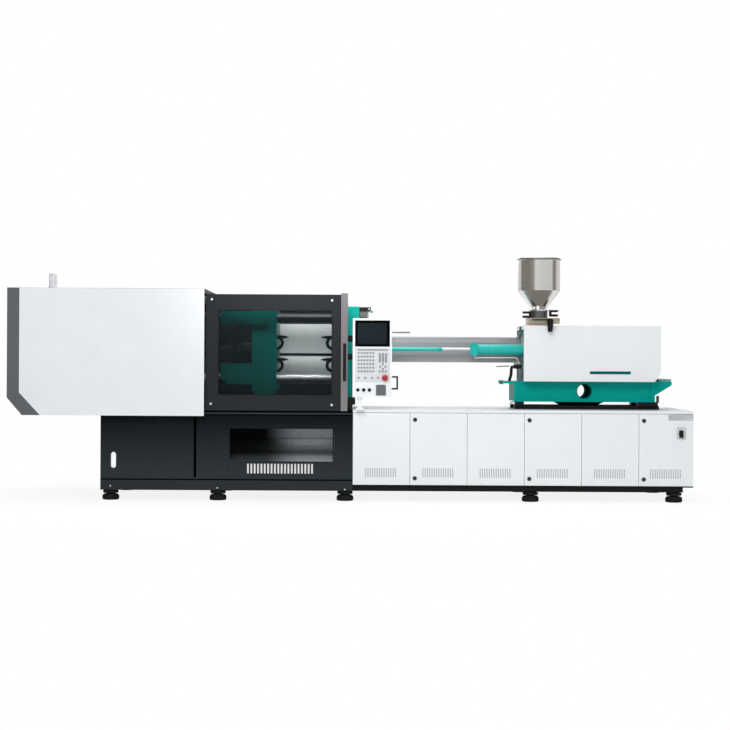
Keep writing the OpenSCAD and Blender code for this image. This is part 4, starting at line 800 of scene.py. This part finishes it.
# %% Helpers for pipes and nuts
def pipe(name, points, radius, bend, finish, body="carriage"):
    corners = [Vector(p) for p in points]
    line = [corners[0]]
    for before, corner, after in zip(corners, corners[1:], corners[2:]):
        near = corner + (before - corner).normalized() * bend
        far = corner + (after - corner).normalized() * bend
        for step in range(9):
            share = step / 8
            line.append(near.lerp(corner, share).lerp(corner.lerp(far, share), share))
    line.append(corners[-1])
    route = bpy.data.curves.new(name, "CURVE")
    route.dimensions, route.use_fill_caps = "3D", True
    route.bevel_depth, route.bevel_resolution = radius, 4
    spline = route.splines.new("POLY")
    spline.points.add(len(line) - 1)
    for knot, place in zip(spline.points, line):
        knot.co = (*place, 1)
    tube = bpy.data.objects.new(name, route)
    scene.collection.objects.link(tube)
    bpy.ops.object.select_all(action="DESELECT")
    tube.select_set(True)
    bpy.context.view_layer.objects.active = tube
    bpy.ops.object.convert(target="MESH")
    return settle(bpy.context.object, name, finish, body)


def axis_of(turn):
    return Matrix.Rotation(turn[1], 3, "Y") @ Matrix.Rotation(turn[0], 3, "X") @ Vector((0, 0, 1))


def nut(name, place, radius, length, turn, finish, body="carriage"):
    piece = start(bpy.ops.mesh.primitive_cylinder_add, vertices=6, radius=radius, depth=length,
                  location=place, rotation=turn)
    axis = axis_of(turn)
    choose(piece, lambda centre, normal: abs(normal.dot(axis)) > 0.9)
    bpy.ops.mesh.inset(thickness=radius * 0.25, use_individual=True)
    bpy.ops.mesh.extrude_region_move()
    bpy.ops.transform.shrink_fatten(value=length * 0.25)
    return settle(piece, name, finish, body, bevel=radius * 0.08)


UPRIGHT = (0, 0, 0)
SEAT_Y = -0.2275
print("seat rod at", SEAT_Y)

# %% Pipe, its nuts, and the block it ends in
PIPE_Z, PIPE_X, BEND_X = 1.513, 1.345, 1.800
ELBOW_X, ELBOW_END, ELBOW_TOP, FEED_NUT_X = 1.330, 1.350, 1.553, 1.352
VALVE_X, VALVE_Z, VALVE_HALF = (1.752, 1.830), (1.395, 1.440), 0.030
VALVE_NUTS_X, VALVE_NUTS_Z = (1.757, 1.782, 1.812), 1.452
pipe("feed_pipe", [(PIPE_X, SEAT_Y, PIPE_Z), (BEND_X, SEAT_Y, PIPE_Z), (BEND_X, SEAT_Y, VALVE_Z[1])],
     0.0085, 0.045, zinc)
nut("feed_nut", (FEED_NUT_X, SEAT_Y, PIPE_Z), 0.017, 0.026, ALONG_X, zinc)
pipe("feed_elbow", [(ELBOW_X, SEAT_Y, ELBOW_TOP), (ELBOW_X, SEAT_Y, PIPE_Z), (ELBOW_END, SEAT_Y, PIPE_Z)],
     0.012, 0.014, zinc)
valve = slab(VALVE_X, (SEAT_Y - VALVE_HALF, SEAT_Y + VALVE_HALF), VALVE_Z)
rimmed(valve, LEFT, 0.010, (-0.030, 0, 0))
settle(valve, "pipe_valve", black_nylon, "carriage", bevel=0.004)
for number, x in enumerate(VALVE_NUTS_X, 1):
    nut("valve_nut_%d" % number, (x, SEAT_Y - 0.012, VALVE_NUTS_Z), 0.013, 0.022, UPRIGHT, zinc)
print("valve", size_of(valve))

# %% Hose, rod and post at the valve
POST_X, POST_FOOT = (1.797, 1.843), 1.262
DRAIN = ((1.736, 1.420), (1.726, 1.400), (1.722, 1.330), (1.703, POST_FOOT))
PROBE, PROBE_Y = ((1.705, 1.424), (1.560, 1.418)), SEAT_Y - 0.02
STRAIGHT = 0.01
pipe("drain_pipe", [(x, SEAT_Y, z) for x, z in DRAIN], 0.016, 0.012, black_rubber)
pipe("sensor_rod", [(x, PROBE_Y, z) for x, z in PROBE], 0.006, STRAIGHT, anodised)
post = slab(POST_X, (SEAT_Y - VALVE_HALF, SEAT_Y + 0.040), (POST_FOOT, VALVE_Z[0]))
choose(post, lambda centre, normal: abs(normal.x) > 0.9)
bpy.ops.mesh.inset(thickness=0.012, use_individual=True)
bpy.ops.mesh.extrude_region_move()
bpy.ops.transform.shrink_fatten(value=-0.006)
settle(post, "valve_post", pump_coat, "carriage", bevel=0.003)
print("valve on post", size_of(post))

# %% [markdown]
# ## Knobs
# A knob is a cylinder whose ends are drawn in step by step: the rim is inset and pulled out, which gives
# the waist and the crown, and a bevel rounds what is left.

# %% Two knobs on the carriage
def knob(name, place, radius, height, turn, finish, body="carriage"):
    piece = start(bpy.ops.mesh.primitive_cylinder_add, vertices=32, radius=radius, depth=height * 0.5,
                  location=place, rotation=turn)
    axis = axis_of(turn)
    for inward, reach in ((0.12, 0.14), (0.30, 0.10)):
        choose(piece, lambda centre, normal: abs(normal.dot(axis)) > 0.95 and
               abs((centre - Vector(place)).dot(axis)) > height * 0.24)
        bpy.ops.mesh.inset(thickness=radius * inward, use_individual=True)
        bpy.ops.mesh.extrude_region_move()
        bpy.ops.transform.shrink_fatten(value=height * reach)
    return settle(piece, name, finish, body, bevel=radius * 0.10, segments=3)


dark_green = painted("dark green enamel on turned knob", "#3f7a66", "#35695a", 0.35, 9, 0.0006, 90)
hood_low, hood_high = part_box("barrel_cover")
HOOD_KNOB = Vector((1.828, -0.105, 1.762))
knob("hood_knob", HOOD_KNOB, 0.021, 0.040, UPRIGHT, dark_green)
pipe("hood_knob_stem", [(*HOOD_KNOB.xy, hood_high.z - 0.004), (*HOOD_KNOB.xy, 1.750)], 0.009, STRAIGHT,
     black_steel)
carriage_low, carriage_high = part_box("carriage")
knob("tip_knob", (carriage_low.x - 0.013, SEAT_Y, carriage_high.z - 0.012), 0.021, 0.050, ALONG_X,
     dark_green)
print("knobs at", round(carriage_low.x, 3), round(hood_high.z, 3))

# %% [markdown]
# ## Vent comb on the barrel cover
# The cover's top edge is a comb of small fins, seen as a row of teeth. One fin is a box drawn thinner to
# its top, and an Array repeats it along the cover.

# %% Comb of fins
FIN_PITCH, FIN_COUNT, FIN_X = 0.027, 52, hood_low.x + 0.012
FIN_W, FIN_RISE = 0.013, 0.008
fin = slab((FIN_X, FIN_X + FIN_W), (hood_low.y + 0.040, hood_low.y + 0.100),
           (hood_high.z - 0.001, hood_high.z + FIN_RISE))
choose(fin, TOP)
pull(0, 0, FIN_RISE)
bpy.ops.transform.resize(value=(0.7, 0.9, 1))
bpy.ops.object.mode_set(mode="OBJECT")
row = fin.modifiers.new("row", "ARRAY")
row.count, row.use_relative_offset, row.use_constant_offset = FIN_COUNT, False, True
row.constant_offset_displace = (FIN_PITCH, 0, 0)
bpy.ops.object.modifier_apply(modifier=row.name)
settle(fin, "vent_comb", hood_coat, "carriage")
print("comb", size_of(fin))

# %% [markdown]
# ## Collars on the seat rods
# Where the painted sleeve ends, a tapered collar leads down to the chromed rod.

# %% Tapered collars
SEAT_Z, COLLAR_L = 1.600, 0.030
collar = start(bpy.ops.mesh.primitive_cone_add, vertices=36, radius1=0.0225, radius2=0.0190, depth=COLLAR_L,
               location=(ROD_BORDER + COLLAR_L / 2, SEAT_Y, SEAT_Z), rotation=ALONG_X)
choose(collar, LEFT)
pull(-0.018, 0, 0)
settle(collar, "seat_collar_front", bright_teal, "machine_base", bevel=0.0015)
copy_to(collar, "seat_collar_rear", (0, 2 * (MIDDLE_Y - SEAT_Y), 0), "machine_base")
print("collars", COLLAR_L)

# %% [markdown]
# ## Bright sheets behind the slots
# A white splash sheet stands close behind the vent slots and the hand slot of the bed, so they read as a
# row of bright strokes. Each sheet is a box with a folded rim: the front is inset and pushed back.

# %% Splash sheets
bed_low, bed_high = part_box("bed_panels")
SHEET_Y, SHEET_T = bed_low.y + 0.0045, 0.006
cream_coat = painted("cream enamel on splash sheet", "#f3f0ec", "#ece9e5", 0.5, 9, 0.0004)
bright_coat = painted("bright white enamel on splash sheet", "#ffffff", "#fafbfb", 0.5, 9, 0.0004)
SPLASHES = (("slot_splash", cream_coat, (-1.105, -0.378), (0.270, 0.402)),
            ("hand_splash", bright_coat, (-2.535, -2.446), (0.318, 0.522)))
for name, coat, span_x, span_z in SPLASHES:
    splash = slab(span_x, (SHEET_Y, SHEET_Y + SHEET_T), span_z)
    rimmed(splash, FRONT, 0.006, (0, 0.0015, 0))
    settle(splash, name, coat, "machine_base", bevel=0.0008)
    print(name, size_of(splash))

# %% [markdown]
# ## Seals, shadow strip and lip
# Flat strips of spongy black rubber close gaps round the bed's panels above the sill and behind the joint;
# a black strip below the door is painted shadow. A folded lip hangs over the drop opening, its lower edge
# turned back.

# %% Seals and a painted shadow strip round the bed panels
# Matt black with no sheen: the strip below the door is painted shadow, the others are seals.
shadow_and_sponge = painted("matt black rubber for seals and painted shadow", "#040404", "#020202", 0.9, 6, 0.0006, shine=0.0)
SEAL_T = 0.002
SEAL_Y, SEAL_END = bed_low.y - SEAL_T, bed_high.x - SEAL_T
SEALS = (("door_seal", (-1.545, SEAL_END), SEAL_Y, (0.895, 0.938)),
         ("sill_seal", (bed_low.x + SEAL_T, SEAL_END), SEAL_Y, (0.211, 0.224)),
         ("joint_seal", (-1.662, -1.608), SHEET_Y, (0.245, 0.900)))
for name, span_x, face, span_z in SEALS:
    seal = slab(span_x, (face, face + SEAL_T), span_z)
    rimmed(seal, FRONT, 0.003, (0, 0.001, 0))
    settle(seal, name, shadow_and_sponge, "machine_base", bevel=0.0005)
    print(name, size_of(seal))

# %% Lip over the drop opening
LIP_X, LIP_Z, LIP_FOLD = (-1.280, -0.180), (0.664, 0.775), 0.020
lip = slab(LIP_X, (SHEET_Y, SHEET_Y + SHEET_T), LIP_Z)
choose(lip, facing(0, 0, -1))
pull(0, LIP_FOLD, -LIP_FOLD)
settle(lip, "drop_lip", lip_finish, "machine_base", bevel=0.001)
print("lip", size_of(lip))

# %% [markdown]
# ## Ring round the stop button
# The red button sits in a pale collar. A torus pressed flat gives its rounded section.

# %% Stop collar
pale_pink = moulded("pale pink collar", "#f2b3b3", "#e8a5a5", 0.35, 6, 0.0002)
stop_low, stop_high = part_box("emergency_stop")
stop_middle = (stop_low + stop_high) / 2
stop_radius = (stop_high.x - stop_low.x) / 2
ring_place = (stop_middle.x, pad_low.y, stop_middle.z)
stop_ring = start(bpy.ops.mesh.primitive_torus_add, major_segments=48, minor_segments=12,
                  major_radius=stop_radius + 0.006, minor_radius=0.005, location=ring_place, rotation=FACING)
choose(stop_ring, everything)
bpy.ops.transform.resize(value=(1, 0.55, 1), center_override=ring_place)
settle(stop_ring, "stop_ring", pale_pink, "control_panel")
print("stop ring", round(2 * stop_radius, 3))

# %% [markdown]
# ## Caps, plugs and liners
# Black caps close the panel's three ports and rubber plugs sit in the lifting holes of the fixed platen. A
# dark teal sleeve in the beam's bore and a dark teal strip in the injection cover's slot are painted shade.

# %% Port caps and platen plugs
PORT_X, PORT_Z = (0.055, 0.116, 0.176), 0.077
PLUG_X, PLUG_Z = -0.013, (1.706, 1.515)
panel_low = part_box("control_panel")[0]
for number, x in enumerate(PORT_X, 1):
    knob("port_cap_%d" % number, panel_low + Vector((x, -0.001, PORT_Z)), 0.0150, 0.014, FACING,
         black_nylon, "control_panel")
platen_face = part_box("fixed_platen")[0].y
for number, z in enumerate(PLUG_Z, 1):
    knob("platen_plug_%d" % number, (PLUG_X, platen_face + 0.001, z), 0.029, 0.016, FACING, black_rubber,
         "machine_base")
print("caps at", round(panel_low.y, 3), "plugs at", round(platen_face, 3))

# %% Sleeve in the beam and strip in the slot
BORE_X, BORE_Z, SLEEVE_R = 2.507, 1.157, 0.0795
SLOT_X, SLOT_Z = (2.551, 2.985), (1.343, 1.371)
# Dark teal as painted shade for the inside of the bore and the slot.
shade_teal = painted("dark teal painted shade", "#0b6a63", "#095c56", 0.7, 9, 0.0006, shine=0.0)
sleeve = start(bpy.ops.mesh.primitive_cylinder_add, vertices=48, radius=SLEEVE_R, end_fill_type="NOTHING",
               depth=carriage_high.y - carriage_low.y - 0.004, rotation=FACING,
               location=(BORE_X, (carriage_low.y + carriage_high.y) / 2, BORE_Z))
choose(sleeve, everything)
bpy.ops.mesh.solidify(thickness=0.003)
settle(sleeve, "bore_sleeve", shade_teal, "carriage", bevel=0.0005)
cover_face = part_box("injection_cover")[0].y
strip = slab(SLOT_X, (cover_face + 0.004, cover_face + 0.008), SLOT_Z)
rimmed(strip, FRONT, 0.004, (0, 0.0015, 0))
settle(strip, "slot_strip", shade_teal, "carriage", bevel=0.0008)
print("sleeve", size_of(sleeve), "strip", size_of(strip))

# %% [markdown]
# ## Stop bracket and guard rod
# A black stop bracket stands beside the panel's foot. It starts as a post; a cut across it parts its side,
# and the upper part is then pulled out into a nose. A thin rod with a nut holds the guard.

# %% Bracket on the bed, rod on the platen
BRACKET_X, BRACKET_Y, BRACKET_Z = (-0.034, 0.017), (-0.660, -0.560), (0.925, 1.092)
NOSE_Z, NOSE_L = 1.010, 0.028
ROD_X, ROD_Y, ROD_Z = (0.080, 0.635), -0.1975, 1.780
bracket = slab(BRACKET_X, BRACKET_Y, BRACKET_Z)
choose(bracket, everything)
bpy.ops.mesh.bisect(plane_co=(0, 0, NOSE_Z), plane_no=(0, 0, 1))
choose(bracket, lambda centre, normal: normal.x > 0.9 and centre.z > NOSE_Z)
pull(NOSE_L, 0, 0)
settle(bracket, "stop_bracket", black_nylon, "machine_base", bevel=0.005)
pipe("guard_rod", [(x, ROD_Y, ROD_Z) for x in ROD_X], 0.009, STRAIGHT, hood_coat,
     "machine_base")
nut("guard_rod_nut", (ROD_X[0] + 0.012, ROD_Y, ROD_Z), 0.018, 0.018, ALONG_X, black_steel,
    "machine_base")
print("bracket", size_of(bracket))

# %% [markdown]
# ## Latches at the hopper's foot
# Two black latches clamp the hopper to its base. Each is a C: an upright whose side is cut in three, with
# the top and bottom thirds pulled out into arms.

# %% Hopper latches
LATCH_X, LATCH_Y, LATCH_Z = (1.930, 1.955), (-0.075, -0.030), (1.946, 2.018)
ARM, CUTS = 0.070, (1.972, 1.994)
MIRROR_X, RISE = 2.052, 0.016
latch = slab(LATCH_X, LATCH_Y, LATCH_Z)
for height in CUTS:
    choose(latch, everything)
    bpy.ops.mesh.bisect(plane_co=(0, 0, height), plane_no=(0, 0, 1))
choose(latch, lambda centre, normal: normal.x < -0.9 and not CUTS[0] < centre.z < CUTS[1])
pull(-ARM, 0, 0)
settle(latch, "hopper_latch_left", black_nylon, "carriage", bevel=0.004)
right = copy_to(latch, "hopper_latch_right", (0, 0, 0), "carriage")
mirrored(right, (2 * MIRROR_X, 0, RISE))
print("latches", size_of(latch), size_of(right))

# %% [markdown]
# ## Rail wiper, stop and tail block
# A steel block wipes the guide rail in front of the left shoe, a dark stop stands behind the right one, and
# a worn block caps the tail of the beam.

# %% Wiper, stop and block
shoe_low, shoe_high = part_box("carriage_base")
worn_teal = painted("worn teal enamel", "#6aa5a0", "#5d9791", 0.45, 20, 0.0012, 200, shine=0.1)
WIPER_SPANS = (shoe_low.x - 0.048, shoe_low.x + 0.002), (-0.240, -0.165), (1.012, 1.052)
wiper = slab(*WIPER_SPANS)
rimmed(wiper, FRONT, 0.010, (0, 0.006, 0))
settle(wiper, "rail_wiper", zinc, "carriage", bevel=0.003)
print("wiper", size_of(wiper))
STOP_SPANS = (shoe_high.x, shoe_high.x + 0.018), (-0.230, -0.150), (1.035, 1.108)
TAIL_SPANS = (3.312, 3.440), (-0.265, 0.330), (carriage_high.z, carriage_high.z + 0.027)
BLOCKS = (("shoe_stop", STOP_SPANS, pump_coat, "pump_grey"),
          ("tail_block", TAIL_SPANS, worn_teal, "teal_paint"))
for name, spans, finish, slot in BLOCKS:
    block = slab(*spans)
    rimmed(block, TOP, 0.004, (0, 0, 0.002))
    settle(block, name, finish, "carriage", bevel=0.003)
    print(name, size_of(block))
